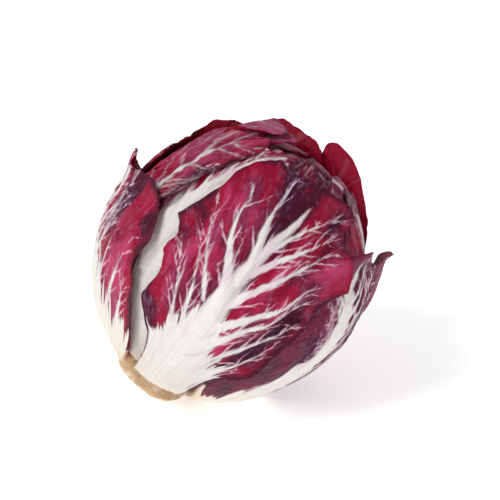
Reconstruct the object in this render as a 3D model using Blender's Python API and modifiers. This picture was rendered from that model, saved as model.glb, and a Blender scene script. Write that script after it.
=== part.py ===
"""Radicchio head lying on its side: a cut stem butt, a dense heart and twelve leaves wrapped round it.

Every leaf is a flat outline (x across, y along the head from the butt) wrapped onto the head's own
rounded profile at that leaf's depth. Lengths in the tables are millimetres and angles are degrees.
"""

import math

import bmesh
import bpy
import numpy as np

MM = 0.001

# How the head lies: its axis runs from the butt to the crown and leans towards +X
LEAN = math.radians(34.0)
CENTRE_HEIGHT = 66.0

# The head's outside: a ball with a fuller belly near the butt
WRAP_RADIUS = 61.0
BELLY_BULGE = 6.6
BELLY_ANGLE = math.radians(30.0)
BELLY_SPREAD = math.radians(25.0)

# The flat spot that the head's weight presses into the lowest leaf, and the leaves over it
PRESS_ALLOWANCE = 0.5
NEARLY_LEVEL = 0.05

# The outside draws in towards the butt, from one angle to another
NECK_DIP = 2.2
NECK_START = math.radians(30.0)
NECK_END = math.radians(14.0)

# A leaf's blade, where its foot starts, and how far along it a foot of its own height reaches
BLADE = 0.85
LEAF_BASE = 14.6
FOOT_START = 32.0
FOOT_END = 15.0
LOWEST_LEAF = "leaf_underside"

# How a leaf's midrib fades: shares lost towards the tip, and its rise over the foot's first stretch
RIB_NARROWING = 0.72
RIB_LOWERING = 0.75
RIB_START_RUN = 9.0
RIB_START_SHARE = 0.35

# The margin's lift and waves: the band they reach in, where they begin, and the waves' centre
EDGE_BAND = 13.0
EDGE_START = 40.0
EDGE_RAMP = 30.0
WAVE_CENTRE = 90.0
WAVE_PHASE = 0.3

# A fold keeps its whole angle up to this share of its half length less one, then flattens out
FOLD_FADE = 1.35
SMALLEST_ANGLE = 1e-6

# The sheet's grid, and how fast the outline's lobes fade inwards from the sides and from the tip
LEAF_COLUMNS = 14
LEAF_ROWS = 16
CURVE_STEPS = 12
LINE_SAMPLES = 97
CALM_SHARE = 0.16
SIDE_FADE = 6.0
TIP_FADE = 9.6

# The heart: its core's depth, and how its leaves sink into it
HEART_DEPTH = 11.0
HEART_LEAF_SINK = 1.5
HEART_HALF_TURN = 64.0
HEART_FOOT = 38.0
HEART_DETAIL = 4

# The stem butt's rings, from its inner end to its cut face: distance from the head's centre, radius,
# and the share of the slant that the ring takes
BUTT_GAP = 0.45
BUTT_START = 53.0
BUTT_SIDES = 28
BUTT_PROFILE = (
    (BUTT_START, 12.0 - BUTT_GAP, 0.0),
    (60.0, 13.6 - BUTT_GAP, 0.0),
    (65.5, 15.0 - BUTT_GAP, 0.0),
    (66.9, 15.9, 0.6),
    (69.4, 18.4, 1.0),
    (70.6, 18.0, 1.0),
)
# The cut leans, so the butt is longer on one side; its rim is uneven: lobes round it, phase, share
BUTT_SLANT = 2.6
BUTT_SLANT_SIDE = math.radians(-20.0)
BUTT_LOBES = ((3, 0.7, 0.018), (7, 2.0, 0.0108))

AXIS = np.array([math.sin(LEAN), 0.0, math.cos(LEAN)])
FRONT = np.array([0.0, -1.0, 0.0])
LOW = np.cross(AXIS, FRONT)
CENTRE = np.array([0.0, 0.0, CENTRE_HEIGHT])

CRIMSON = (0.30, 0.012, 0.055)
TAN = (0.60, 0.40, 0.25)

# A plain leaf's sides and tip, and a wedge's stations and tip, as shares of their width and length
PLAIN_SIDE = ((0.50, 0.24), (0.82, 0.42), (1.0, 0.63), (0.93, 0.82))
PLAIN_TIP = ((0.93, 0.82), (0.66, 0.94), (0.24, 1.0), (-0.22, 0.985), (-0.70, 0.93), (-0.96, 0.80))
WEDGE_STATIONS = (0.24, 0.40, 0.56, 0.72, 0.86)
WEDGE_TIP = ((-1.0, 0.95), (-0.45, 1.0), (0.5, 0.99), (1.0, 0.94))


def plain_outline(half_width, length, lean=0.0):
    """A broad rounded leaf: its left side, its tip from left to right, and its right side."""
    left = [(-x * half_width + lean * y, y * length) for x, y in PLAIN_SIDE]
    right = [(x * half_width + lean * y, y * length) for x, y in PLAIN_SIDE]
    tip = [(-x * half_width + lean * y, y * length) for x, y in PLAIN_TIP]
    left[-1], right[-1] = tip[0], tip[-1]
    return left, tip, right


def wedge_outline(half_turn, length, tip_width):
    """A leaf that covers one sector of the head: its sides follow two meridians up to its tip."""
    def side_x(y):
        return WRAP_RADIUS * math.asin(math.sin(y / WRAP_RADIUS) * math.sin(math.radians(half_turn)))

    right = [(side_x(length * share), length * share) for share in WEDGE_STATIONS]
    left = [(-x, y) for x, y in right]
    tip = [(x * tip_width, y * length) for x, y in WEDGE_TIP]
    return left, [left[-1], *tip, right[-1]], right


# Each leaf: azimuth round the axis (0 faces -Y, 90 faces down), depth below the outside, the half
# angle of its foot, its outline, its midrib's course, its rib's height and width at the foot, the
# lift and the waves of its margin, and the places where it folds away from the head. A fold has a
# point, the direction it folds towards, the bend's radius, its greatest angle, and its half length.
# A leaf with a foot rise of its own stands off by that much at its foot.
LEAVES = {
    "leaf_front": {
        "azimuth": -2.0,
        "depth": 0.0,
        "foot": 36.0,
        "left": [(-11, 28), (-12, 40), (-14, 49), (-17.5, 57), (-22, 62), (-27, 68), (-30.5, 73),
                 (-31, 80), (-30.6, 88), (-32.5, 96), (-34.8, 100), (-33.2, 107), (-36, 112.5),
                 (-39.6, 116.5)],
        "tip": [(-39.6, 116.5), (-37, 124), (-33, 132), (-28, 139), (-26, 147), (-20, 156), (-13, 162.5),
                (-6, 161.5), (1, 160.5), (8, 163.5), (16, 165), (23, 166), (27, 161), (26, 152),
                (31, 146), (36, 144), (40, 138), (43, 131)],
        "right": [(8.5, 32), (11, 46), (14, 54), (19, 60), (25, 66), (29.5, 73), (32, 83), (34, 93),
                  (35, 103), (36, 113), (38, 122), (43, 131)],
        "midrib": [(-3.6, 15), (-3.6, 47), (-2.7, 80), (-2.7, 100), (-0.7, 116), (1.6, 128), (6.4, 143),
                   (9.9, 160)],
        "rib": (1.9, 12.0),
        "lift": 1.3,
        "waves": (1.2, 7.0),
    },
    "leaf_left": {
        "azimuth": -88.0,
        "depth": 0.0,
        "foot": 42.0,
        "foot_rise": 3.4,
        "left": [(-27, 33), (-38, 48), (-43, 66), (-41, 80), (-34, 93)],
        "tip": [(-34, 93), (-28, 96), (-22, 100), (-16, 104), (-8, 108), (0, 108), (6, 107), (16, 110),
                (27, 114), (35, 113), (41, 109.5), (46, 103)],
        "right": [(24, 19), (35, 26), (42, 36), (45.5, 49), (46.5, 64), (46, 76), (47, 85), (48.5, 94),
                  (46, 103)],
        "midrib": [(-2, 15), (-4, 50), (-8, 80), (-12, 95), (-14, 105)],
        "rib": (2.9, 18.0),
        "lift": 1.2,
        "waves": (1.2, 9.0),
        "folds": [((-11.0, 93.0), 88.0, 9.0, 16.0, 18.0)],
    },
    "leaf_back": {
        "azimuth": 161.0,
        "depth": 0.0,
        "foot": 34.0,
        "outline": plain_outline(49.0, 122.0, 2.0),
        "midrib": [(0, 15), (1, 60), (3, 120)],
        "rib": (1.9, 12.0),
        "lift": 1.4,
        "waves": (1.3, 8.0),
    },
    "leaf_underside": {
        "azimuth": 84.0,
        "depth": 2.0,
        "foot": 50.0,
        "left": [(-30, 18), (-45, 23), (-54, 35), (-59, 56), (-61, 76), (-60, 98), (-56, 114)],
        "tip": [(-56, 114), (-50, 129), (-41, 140), (-31, 147), (-24, 147), (-17, 140), (-10, 134),
                (-3, 134), (4, 136), (11, 137.5), (17, 135), (22, 127), (25, 115)],
        "right": [(24, 28), (36, 44), (42, 62), (41, 82), (34, 98), (25, 115)],
        "midrib": [(2, 15), (2, 36), (0, 60), (-3, 80), (-9, 95), (-19, 112), (-25, 124), (-26, 140)],
        "rib": (2.6, 15.0),
        "folds": [((-22.0, 134.5), 85.0, 5.0, 50.0, 15.0), ((12.0, 98.0), 80.0, 40.0, 6.5, 30.0),
                  ((14.0, 129.0), 85.0, 4.0, 70.0, 14.0)],
    },
    "leaf_upper_left": {
        "azimuth": -76.0,
        "depth": 2.0,
        "foot": 33.0,
        "left": [(-20, 34), (-27, 56), (-24, 80), (-12, 98), (-1, 109), (3, 117), (2, 126), (-4, 135),
                 (-7, 144), (-10, 156)],
        "tip": [(-10, 156), (-7, 164), (1, 168), (9, 167), (15, 162)],
        "right": [(20, 34), (29, 56), (31, 84), (28, 106), (27, 116), (25, 128), (22, 142), (18, 154),
                  (15, 162)],
        "midrib": [(0, 15), (2, 80), (13, 112), (12, 130), (4, 164)],
        "rib": (0.5, 11.0),
        "folds": [((26.0, 122.0), 12.0, 9.0, 40.0, 30.0)],
    },
    "leaf_back_left": {
        "azimuth": -162.5,
        "depth": 2.0,
        "foot": 33.0,
        "outline": plain_outline(35.0, 134.0),
        "midrib": [(0, 15), (0, 80), (0, 134)],
        "rib": (0.5, 11.0),
        "folds": [((0.0, 124.0), 90.0, 12.0, 40.0, 24.0)],
    },
    "leaf_front_left": {
        "azimuth": -41.0,
        "depth": 4.2,
        "foot": 34.0,
        "left": [(-18, 34), (-30, 56), (-36, 84), (-34, 110), (-26, 134)],
        "tip": [(-26, 134), (-20, 150), (-9, 163), (2, 170), (10, 166), (18, 156), (26, 140)],
        "right": [(18, 34), (30, 56), (37, 84), (35, 114), (26, 140)],
        "midrib": [(-1, 15), (-1.3, 70), (-3.6, 84), (-3.2, 104), (-2.2, 122), (-0.6, 154), (1, 170)],
        "rib": (0.75, 9.0),
    },
    "leaf_right": {
        "azimuth": 137.0,
        "depth": 4.2,
        "foot": 34.0,
        "left": [(-20, 36), (-33, 63), (-40, 94), (-39, 108), (-36, 120)],
        "tip": [(-36, 120), (-30, 128), (-26, 131), (-19.5, 138.5), (-10, 148), (-2.4, 157.5), (4.6, 163),
                (9.5, 166.5), (13.5, 165.5), (16.5, 158), (20, 152), (26, 149)],
        "right": [(20, 36), (33, 63), (40, 95), (38, 123), (32, 138), (26, 149)],
        "midrib": [(0, 15), (0, 80), (4, 150)],
        "rib": (0.5, 10.0),
        "folds": [((3.5, 144.3), 122.0, 8.0, 76.0, 48.0)],
    },
    "leaf_top_left": {
        "azimuth": -119.0,
        "depth": 4.2,
        "foot": 34.0,
        "left": [(-18, 35), (-30, 62), (-37, 92), (-34, 121)],
        "tip": [(-34, 121), (-28, 136), (-19, 142.5), (-13.5, 148), (-8.4, 146.5), (-4, 139.5),
                (0.6, 130.5), (8, 124), (20, 117)],
        "right": [(18, 35), (30, 62), (37, 90), (32, 106), (20, 117)],
        "midrib": [(0, 15), (0, 80), (-10, 150)],
        "rib": (0.5, 10.0),
        "folds": [((-11.0, 136.5), 31.0, 7.0, 62.0, 15.0)],
    },
    "leaf_top": {
        "azimuth": -166.0,
        "depth": 6.3,
        "foot": 38.0,
        "left": [(-28, 40), (-41, 68), (-46.5, 95), (-41, 122), (-30, 146)],
        "tip": [(-30, 146), (-25, 156), (-18, 163), (-10.6, 165), (1, 162), (8, 159.5), (12, 156.5),
                (15, 152.5), (19.5, 146), (24.5, 141), (28, 136)],
        "right": [(28, 40), (41, 68), (46.5, 95), (38, 120), (28, 136)],
        "midrib": [(0, 15), (0, 80), (-3, 165)],
        "rib": (0.4, 10.0),
        "folds": [((-6.0, 149.0), 66.0, 8.0, 74.0, 20.0)],
    },
    "leaf_inner_right": {
        "azimuth": 84.0,
        "depth": 6.3,
        "foot": 38.0,
        "outline": wedge_outline(56.0, 178.0, 15.0),
        "midrib": [(0, 15), (0, 80), (0, 178)],
        "rib": (0.4, 10.0),
    },
    "leaf_inner_left": {
        "azimuth": -42.0,
        "depth": 6.3,
        "foot": 38.0,
        "outline": wedge_outline(56.0, 174.0, 17.0),
        "midrib": [(0, 15), (0, 80), (0, 174)],
        "rib": (0.4, 10.0),
    },
}

# The heart's own leaves, fused to its core: azimuth, depth, length, tip width, and rise of the tip
HEART_LEAVES = (
    (12.0, 9.3, 183.0, 13.0, 1.3),
    (120.0, 9.8, 189.0, 12.0, 2.2),
    (-125.0, 8.8, 187.0, 14.0, 1.4),
    (62.0, 10.1, 195.0, 10.0, 2.0),
    (-60.0, 10.35, 193.0, 11.0, 1.5),
)
HEART_TIP_START = 168.0
HEART_TIP_LENGTH = 18.0
HEART_TIP_CURVE = 1.5


def smooth_step(value, start, end):
    """3t^2 - 2t^3 of the value's place between start and end."""
    t = np.clip((value - start) / (end - start), 0.0, 1.0)
    return t * t * (3 - 2 * t)


def head_radius(toward_butt):
    """The outside's distance from the centre, from the cosine of the angle to the butt."""
    angle = np.arccos(np.clip(toward_butt, -1.0, 1.0))
    belly = BELLY_BULGE * np.exp(-(((angle - BELLY_ANGLE) / BELLY_SPREAD) ** 2))
    return WRAP_RADIUS + belly - NECK_DIP * smooth_step(angle, NECK_START, NECK_END)


def directions(x, y, azimuth):
    """Unit vectors from the centre for points x across and y along a leaf at this azimuth."""
    turn = math.radians(azimuth)
    facing = math.cos(turn) * FRONT + math.sin(turn) * LOW
    across = np.cross(AXIS, facing)
    along = y / WRAP_RADIUS
    aside = (x / WRAP_RADIUS)[:, None]
    meridian = np.sin(along)[:, None] * facing - np.cos(along)[:, None] * AXIS
    return np.cos(aside) * meridian + np.sin(aside) * across


def wrap(x, y, height, azimuth, lowest=False):
    """Puts flat leaf points on the head, each at its height above the outside (negative is deeper).

    Over the flat spot every layer but the lowest sinks by as much as the outside stands below the
    surface, and the lowest leaf stops at the surface itself.
    """
    facing = directions(x, y, azimuth)
    outside = head_radius(-(facing @ AXIS))
    radius = outside + height
    floor = CENTRE_HEIGHT / np.clip(-facing[:, 2], NEARLY_LEVEL, 1.0)
    if lowest:
        radius = np.minimum(radius, floor)
    else:
        radius = radius - np.maximum(outside + PRESS_ALLOWANCE - floor, 0.0)
    return CENTRE + radius[:, None] * facing


def smooth_line(points, count):
    """Evenly spaced samples, 0 to 1, of a rounded line through the points (Catmull-Rom)."""
    points = np.array(points, float)
    ends = np.vstack([2 * points[0] - points[1], points, 2 * points[-1] - points[-2]])
    step = np.linspace(0.0, 1.0, CURVE_STEPS, endpoint=False)[:, None]
    dense = []
    for before, start, end, after in zip(ends[:-3], ends[1:-2], ends[2:-1], ends[3:]):
        dense.append(0.5 * (2 * start + (end - before) * step
                            + (2 * before - 5 * start + 4 * end - after) * step**2
                            + (3 * start - before - 3 * end + after) * step**3))
    dense = np.vstack([*dense, points[-1:]])
    travelled = np.concatenate([[0.0], np.cumsum(np.linalg.norm(np.diff(dense, axis=0), axis=1))])
    wanted = np.linspace(0.0, travelled[-1], count)
    return np.stack([np.interp(wanted, travelled, dense[:, axis]) for axis in (0, 1)], axis=1)


def calm_line(line):
    """The line's chord plus the rest of it, averaged along the line; both ends stay in place."""
    chord = line[0] + (line[-1] - line[0]) * np.linspace(0.0, 1.0, len(line))[:, None]
    rest = line - chord
    reach = int(len(line) * CALM_SHARE)
    weights = np.hanning(2 * reach + 3)[1:-1]
    weights /= weights.sum()
    padded = np.concatenate([-rest[reach:0:-1], rest, -rest[-2:-reach - 2:-1]])
    return chord + np.stack([np.convolve(padded[:, axis], weights, "valid") for axis in (0, 1)], axis=1)


def calm_and_lobes(points, count):
    """A calm line through the points and the lobes that the outline adds to it, both resampled."""
    line = smooth_line(points, LINE_SAMPLES)
    calm = calm_line(line)
    wanted, places = np.linspace(0.0, 1.0, count), np.linspace(0.0, 1.0, LINE_SAMPLES)
    both = [np.stack([np.interp(wanted, places, values[:, axis]) for axis in (0, 1)], axis=1)
            for values in (calm, line - calm)]
    return both


def leaf_sheet(leaf, columns, rows):
    """Flat points of a leaf, rows by columns, blended between its foot, two sides and tip.

    The blend is made between the calm lines, and the outline's lobes are added close to them.
    """
    left, tip, right = leaf["outline"] if "outline" in leaf else (leaf["left"], leaf["tip"], leaf["right"])
    angles = np.radians(np.linspace(-leaf["foot"], leaf["foot"], columns + 1))
    foot = LEAF_BASE * np.stack([np.sin(angles), np.cos(angles)], axis=1)
    left, left_lobes = calm_and_lobes([tuple(foot[0]), *left], rows + 1)
    right, right_lobes = calm_and_lobes([tuple(foot[-1]), *right], rows + 1)
    tip, tip_lobes = calm_and_lobes(tip, columns + 1)
    u = np.linspace(0.0, 1.0, columns + 1)[None, :, None]
    v = np.linspace(0.0, 1.0, rows + 1)[:, None, None]
    sides = (1 - u) * left[:, None] + u * right[:, None]
    ends = (1 - v) * foot[None] + v * tip[None]
    corners = (1 - v) * ((1 - u) * foot[0] + u * foot[-1]) + v * ((1 - u) * tip[0] + u * tip[-1])
    lobes = (1 - u) ** SIDE_FADE * left_lobes[:, None] + u ** SIDE_FADE * right_lobes[:, None]
    return sides + ends - corners + lobes + v ** TIP_FADE * tip_lobes[None]


def margin_distance(sheet):
    """Distance of each sheet point from the nearest of the two sides and the tip."""
    from_left = np.linalg.norm(sheet - sheet[:, :1], axis=2)
    from_right = np.linalg.norm(sheet - sheet[:, -1:], axis=2)
    from_tip = np.linalg.norm(sheet - sheet[-1:], axis=2)
    return np.minimum(np.minimum(from_left, from_right), from_tip)


def rib_height(x, y, leaf):
    """The midrib's swelling: full at the foot and low at the tip, fading to both sides."""
    course = np.array(leaf["midrib"], float)
    height, width = leaf["rib"]
    along = np.clip((y - LEAF_BASE) / (course[-1, 1] - LEAF_BASE), 0.0, 1.0)
    beside = x - np.interp(y, course[:, 1], course[:, 0])
    spread = width * (1.0 - RIB_NARROWING * along)
    start = np.clip((y - LEAF_BASE) / RIB_START_RUN + RIB_START_SHARE, 0.0, 1.0)
    rise = height * start * (1.0 - RIB_LOWERING * along)
    return rise * np.exp(-((beside / spread) ** 2))


def folded(x, y, leaf):
    """Sideways shift and rise of the points beyond each fold of the leaf."""
    shift = np.zeros((len(x), 2))
    rise = np.zeros(len(x))
    for (fold_x, fold_y), direction, radius, most, half_length in leaf.get("folds", ()):
        toward = np.array([math.cos(math.radians(direction)), math.sin(math.radians(direction))])
        past = (x - fold_x) * toward[0] + (y - fold_y) * toward[1]
        beside = (y - fold_y) * toward[0] - (x - fold_x) * toward[1]
        share = smooth_step(FOLD_FADE - np.abs(beside) / half_length, 0.0, 1.0)
        past = np.maximum(past, 0.0)
        angle = np.maximum(np.minimum(past / radius, math.radians(most)) * share, SMALLEST_ANGLE)
        straight = past - np.minimum(past, radius * math.radians(most))
        arc = past - straight
        reach = arc * np.sin(angle) / angle + straight * np.cos(angle)
        rise += arc * (1 - np.cos(angle)) / angle + straight * np.sin(angle)
        shift += (reach - past)[:, None] * toward
    return shift, rise


def leaf_material(name, colour, roughness):
    material = bpy.data.materials.new(name)
    material.use_nodes = True
    shader = material.node_tree.nodes["Principled BSDF"]
    shader.inputs["Base Color"].default_value = (*colour, 1.0)
    shader.inputs["Roughness"].default_value = roughness
    shader.inputs["Metallic"].default_value = 0.0
    return material


def set_points(mesh, points):
    mesh.vertices.foreach_set("co", (points * MM).ravel())
    mesh.update()


def grid_mesh(name, columns, rows):
    """A triangulated grid, with the column and row of each of its points."""
    mesh = bpy.data.meshes.new(name)
    grid = bmesh.new()
    bmesh.ops.create_grid(grid, x_segments=columns, y_segments=rows, size=0.5)
    places = np.array([vertex.co[:] for vertex in grid.verts])
    bmesh.ops.triangulate(grid, faces=grid.faces[:])
    grid.to_mesh(mesh)
    grid.free()
    column = np.rint((places[:, 0] + 0.5) * columns).astype(int)
    row = np.rint((places[:, 1] + 0.5) * rows).astype(int)
    return mesh, column, row


def add_sheet_object(mesh, collection, thickness):
    """An object that gives the sheet its thickness, inwards, point by point."""
    obj = bpy.data.objects.new(mesh.name, mesh)
    collection.objects.link(obj)
    group = obj.vertex_groups.new(name="thickness")
    thickest = float(thickness.max())
    for index, share in enumerate(thickness / thickest):
        group.add([index], float(share), "REPLACE")
    shell = obj.modifiers.new("Solidify", "SOLIDIFY")
    shell.thickness = thickest * MM
    shell.offset = -1.0
    shell.vertex_group = group.name
    return obj


def add_leaf(name, leaf, collection, material):
    mesh, column, row = grid_mesh(name, LEAF_COLUMNS, LEAF_ROWS)
    sheet = leaf_sheet(leaf, LEAF_COLUMNS, LEAF_ROWS)
    inset = margin_distance(sheet)[row, column]
    x, y = sheet[row, column].T
    rib = rib_height(x, y, leaf)
    wave_height, wave_count = leaf.get("waves", (0.0, 1.0))
    band = np.clip(1.0 - inset / EDGE_BAND, 0.0, 1.0) ** 2
    edge = band * np.clip((y - EDGE_START) / EDGE_RAMP, 0.0, 1.0)
    around = np.arctan2(x, WAVE_CENTRE - y) + WAVE_PHASE * leaf["azimuth"]
    ripple = 0.5 + 0.5 * np.sin(wave_count * around)
    shift, rise = folded(x, y, leaf)
    foot = leaf.get("foot_rise", 0.0) * smooth_step(y, FOOT_START, FOOT_END)
    lift = edge * (leaf.get("lift", 0.0) + wave_height * ripple)
    height = rib - leaf["depth"] + foot + lift + rise
    lowest = name == LOWEST_LEAF
    set_points(mesh, wrap(x + shift[:, 0], y + shift[:, 1], height, leaf["azimuth"], lowest))
    mesh.materials.append(material)
    mesh.shade_smooth()
    return add_sheet_object(mesh, collection, BLADE + rib)


def add_heart_leaf(azimuth, depth, length, tip_width, tip_rise, collection):
    """One of the heart's leaves: it stands out of the core, which its inner face is sunk into."""
    leaf = {"foot": HEART_FOOT, "outline": wedge_outline(HEART_HALF_TURN, length, tip_width)}
    mesh, column, row = grid_mesh("heart_leaf", LEAF_COLUMNS, LEAF_ROWS)
    x, y = leaf_sheet(leaf, LEAF_COLUMNS, LEAF_ROWS)[row, column].T
    rise = tip_rise * np.clip((y - HEART_TIP_START) / HEART_TIP_LENGTH, 0.0, 1.0) ** HEART_TIP_CURVE
    set_points(mesh, wrap(x, y, rise - depth, azimuth))
    return add_sheet_object(mesh, collection, HEART_DEPTH + HEART_LEAF_SINK - depth + rise)


def add_heart(collection, material):
    """The tight core, with the innermost leaves that close over the crown fused to it."""
    mesh = bpy.data.meshes.new("heart")
    ball = bmesh.new()
    bmesh.ops.create_icosphere(ball, subdivisions=HEART_DETAIL, radius=1.0)
    facing = np.array([vertex.co[:] for vertex in ball.verts])
    facing /= np.linalg.norm(facing, axis=1)[:, None]
    ball.to_mesh(mesh)
    ball.free()
    toward_butt = -(facing @ AXIS)
    outside = head_radius(toward_butt)
    floor = CENTRE_HEIGHT / np.clip(-facing[:, 2], NEARLY_LEVEL, 1.0)
    radius = outside - HEART_DEPTH - np.maximum(outside + PRESS_ALLOWANCE - floor, 0.0)
    # A flat face under the butt, which sits on it
    radius = np.minimum(radius, (BUTT_START - BUTT_GAP) / np.clip(toward_butt, NEARLY_LEVEL, 1.0))
    set_points(mesh, CENTRE + radius[:, None] * facing)
    heart = bpy.data.objects.new("heart", mesh)
    collection.objects.link(heart)
    leaves = bpy.data.collections.new("heart_leaves")
    bpy.context.scene.collection.children.link(leaves)
    for leaf in HEART_LEAVES:
        add_heart_leaf(*leaf, leaves)
    union = heart.modifiers.new("Union", "BOOLEAN")
    union.operation = "UNION"
    union.operand_type = "COLLECTION"
    union.collection = leaves
    union.solver = "MANIFOLD"
    whole = bpy.data.meshes.new_from_object(heart.evaluated_get(bpy.context.evaluated_depsgraph_get()))
    heart.modifiers.remove(union)
    heart.data = whole
    for leaf in list(leaves.objects):
        bpy.data.objects.remove(leaf)
    bpy.data.collections.remove(leaves)
    whole.materials.clear()
    whole.materials.append(material)
    whole.shade_smooth()
    return heart


def add_stem_butt(collection, material):
    """The cut stem: a turned stub that widens to its cut face, with an uneven rim."""
    mesh = bpy.data.meshes.new("stem_butt")
    stub = bmesh.new()
    rings = len(BUTT_PROFILE)
    bmesh.ops.create_grid(stub, x_segments=BUTT_SIDES, y_segments=rings - 1, size=0.5)
    places = np.array([vertex.co[:] for vertex in stub.verts])
    turn = (places[:, 0] + 0.5) * 2 * math.pi
    ring = np.rint((places[:, 1] + 0.5) * (rings - 1)).astype(int)
    reach, radius, slant = np.array(BUTT_PROFILE).T[:, ring]
    widest = max(radius for _, radius, _ in BUTT_PROFILE)
    reach = reach + slant * BUTT_SLANT * np.cos(turn - BUTT_SLANT_SIDE) * radius / widest
    lobes = sum(share * np.sin(count * turn + phase) for count, phase, share in BUTT_LOBES)
    radius = radius * (1.0 + lobes * (ring > 0))
    around = np.cos(turn)[:, None] * FRONT + np.sin(turn)[:, None] * LOW
    points = CENTRE - reach[:, None] * AXIS + radius[:, None] * around
    points[:, 2] = np.maximum(points[:, 2], 0.0)
    for vertex, point in zip(stub.verts, points * MM):
        vertex.co = point
    bmesh.ops.remove_doubles(stub, verts=stub.verts[:], dist=0.00001)
    bmesh.ops.holes_fill(stub, edges=stub.edges[:], sides=0)
    bmesh.ops.triangulate(stub, faces=stub.faces[:])
    bmesh.ops.recalc_face_normals(stub, faces=stub.faces[:])
    stub.to_mesh(mesh)
    stub.free()
    mesh.materials.append(material)
    obj = bpy.data.objects.new("stem_butt", mesh)
    collection.objects.link(obj)
    return obj


def main():
    for obj in list(bpy.data.objects):
        bpy.data.objects.remove(obj)
    head = bpy.data.collections.new("radicchio_head")
    bpy.context.scene.collection.children.link(head)
    add_stem_butt(head, leaf_material("stem_butt", TAN, 0.75))
    add_heart(head, leaf_material("heart", CRIMSON, 0.45))
    for name, leaf in LEAVES.items():
        add_leaf(name, leaf, head, leaf_material(name, CRIMSON, 0.42))


main()
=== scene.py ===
import math

import bpy
import numpy as np
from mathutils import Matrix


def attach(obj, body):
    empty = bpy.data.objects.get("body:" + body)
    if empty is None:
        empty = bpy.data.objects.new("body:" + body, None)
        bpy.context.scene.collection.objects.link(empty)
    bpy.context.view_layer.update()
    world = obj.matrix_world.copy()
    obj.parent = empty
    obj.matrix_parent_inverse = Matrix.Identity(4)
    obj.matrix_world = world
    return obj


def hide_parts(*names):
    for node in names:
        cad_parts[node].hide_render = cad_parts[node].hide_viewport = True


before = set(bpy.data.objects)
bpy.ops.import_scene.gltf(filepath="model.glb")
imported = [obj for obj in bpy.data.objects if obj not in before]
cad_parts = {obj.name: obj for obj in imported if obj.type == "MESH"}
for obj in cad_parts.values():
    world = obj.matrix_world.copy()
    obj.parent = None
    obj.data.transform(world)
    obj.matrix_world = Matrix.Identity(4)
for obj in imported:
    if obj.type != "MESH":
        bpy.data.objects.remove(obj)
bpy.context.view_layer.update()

# Lengths are millimetres and angles degrees in all the dictionaries, and metres in the meshes
mm = 0.001

# The head lies on its side: its axis runs from the butt to the crown and leans towards +X
head = {
    "lean": 34.0,
    "centreHeight": 66.0,
    "wrapRadius": 61.0,
    "bellyBulge": 6.6,  # fuller near the butt
    "bellyAngle": 30.0,
    "bellySpread": 25.0,
    "neck": 2.2,  # the outside dips this much towards the butt
    "neckAngles": (30.0, 14.0),
    "pressAllowance": 0.5,  # room over the flat spot it rests on
    "leastFall": 0.05,  # directions that fall less than this count as level
    "blade": 0.85,
    "marginBlade": 0.3,  # the blade thins out to this at its edge
    "marginWidth": 5.0,
    "veinBlade": 0.5,  # share of a raised vein that also thickens the inner side
    "leafBase": 14.6,
    "rootDepth": 4.5,  # the leaves thicken towards the butt
    "rootSpan": (34.0, 15.0),
}

axis = np.array([math.sin(math.radians(head["lean"])), 0.0, math.cos(math.radians(head["lean"]))])
front = np.array([0.0, -1.0, 0.0])
low = np.cross(axis, front)
centre = np.array([0.0, 0.0, head["centreHeight"]])

view = {
    "azimuth": 3.3,
    "elevation": 21.0,
    "distance": 900.0,
    "framePixels": 500.0,
    "mmPerPixel": 0.444,
    "centrePixel": (240.0, 254.5),
    "sensor": 36.0,
    "clipEnd": 20.0,  # metres
}


def addCamera():
    az, el = math.radians(view["azimuth"]), math.radians(view["elevation"])
    toward = np.array([math.sin(az) * math.cos(el), -math.cos(az) * math.cos(el), math.sin(el)])
    data = bpy.data.cameras.new("camera")
    camera = bpy.data.objects.new("camera", data)
    bpy.context.scene.collection.objects.link(camera)
    camera.location = (centre + toward * view["distance"]) * mm
    camera.rotation_euler = (math.radians(90.0) - el, 0.0, az)
    half = view["framePixels"] / 2
    data.sensor_width = view["sensor"]
    data.lens = view["sensor"] * view["distance"] / (view["framePixels"] * view["mmPerPixel"])
    data.shift_x = (half - view["centrePixel"][0]) / view["framePixels"]
    data.shift_y = (view["centrePixel"][1] - half) / view["framePixels"]
    data.clip_end = view["clipEnd"]
    bpy.context.scene.camera = camera


addCamera()
print("camera ready")


# Shapes: the head's outside, and flat leaves wrapped onto it

def smoothStep(value, start, end):
    # 3t^2 - 2t^3 of the value's place between start and end
    t = np.clip((value - start) / (end - start), 0.0, 1.0)
    return t * t * (3 - 2 * t)


def headRadius(towardButt):
    # wrapRadius plus a bell curve round the belly's angle from the butt, less the dip at the neck
    angle = np.degrees(np.arccos(np.clip(towardButt, -1.0, 1.0)))
    belly = head["bellyBulge"] * np.exp(-(((angle - head["bellyAngle"]) / head["bellySpread"]) ** 2))
    return head["wrapRadius"] + belly - head["neck"] * smoothStep(angle, *head["neckAngles"])


def floorReach(facing):
    # How far off the floor is along each direction: the centre's height / how much the direction falls
    return head["centreHeight"] / np.clip(-facing[..., 2], head["leastFall"], 1.0)


def pressedDepth(outside, facing):
    # What the outside loses over the flat spot: all that lies under the floor, and the allowance
    return np.maximum(outside + head["pressAllowance"] - floorReach(facing), 0.0)


def leafDirections(x, y, azimuth):
    # Unit vectors from the centre: y/radius is the angle from the butt, x/radius the angle aside
    turn = math.radians(azimuth)
    facing = math.cos(turn) * front + math.sin(turn) * low
    across = np.cross(axis, facing)
    along = (y / head["wrapRadius"])[..., None]
    aside = (x / head["wrapRadius"])[..., None]
    meridian = np.sin(along) * facing - np.cos(along) * axis
    return np.cos(aside) * meridian + np.sin(aside) * across


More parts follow.
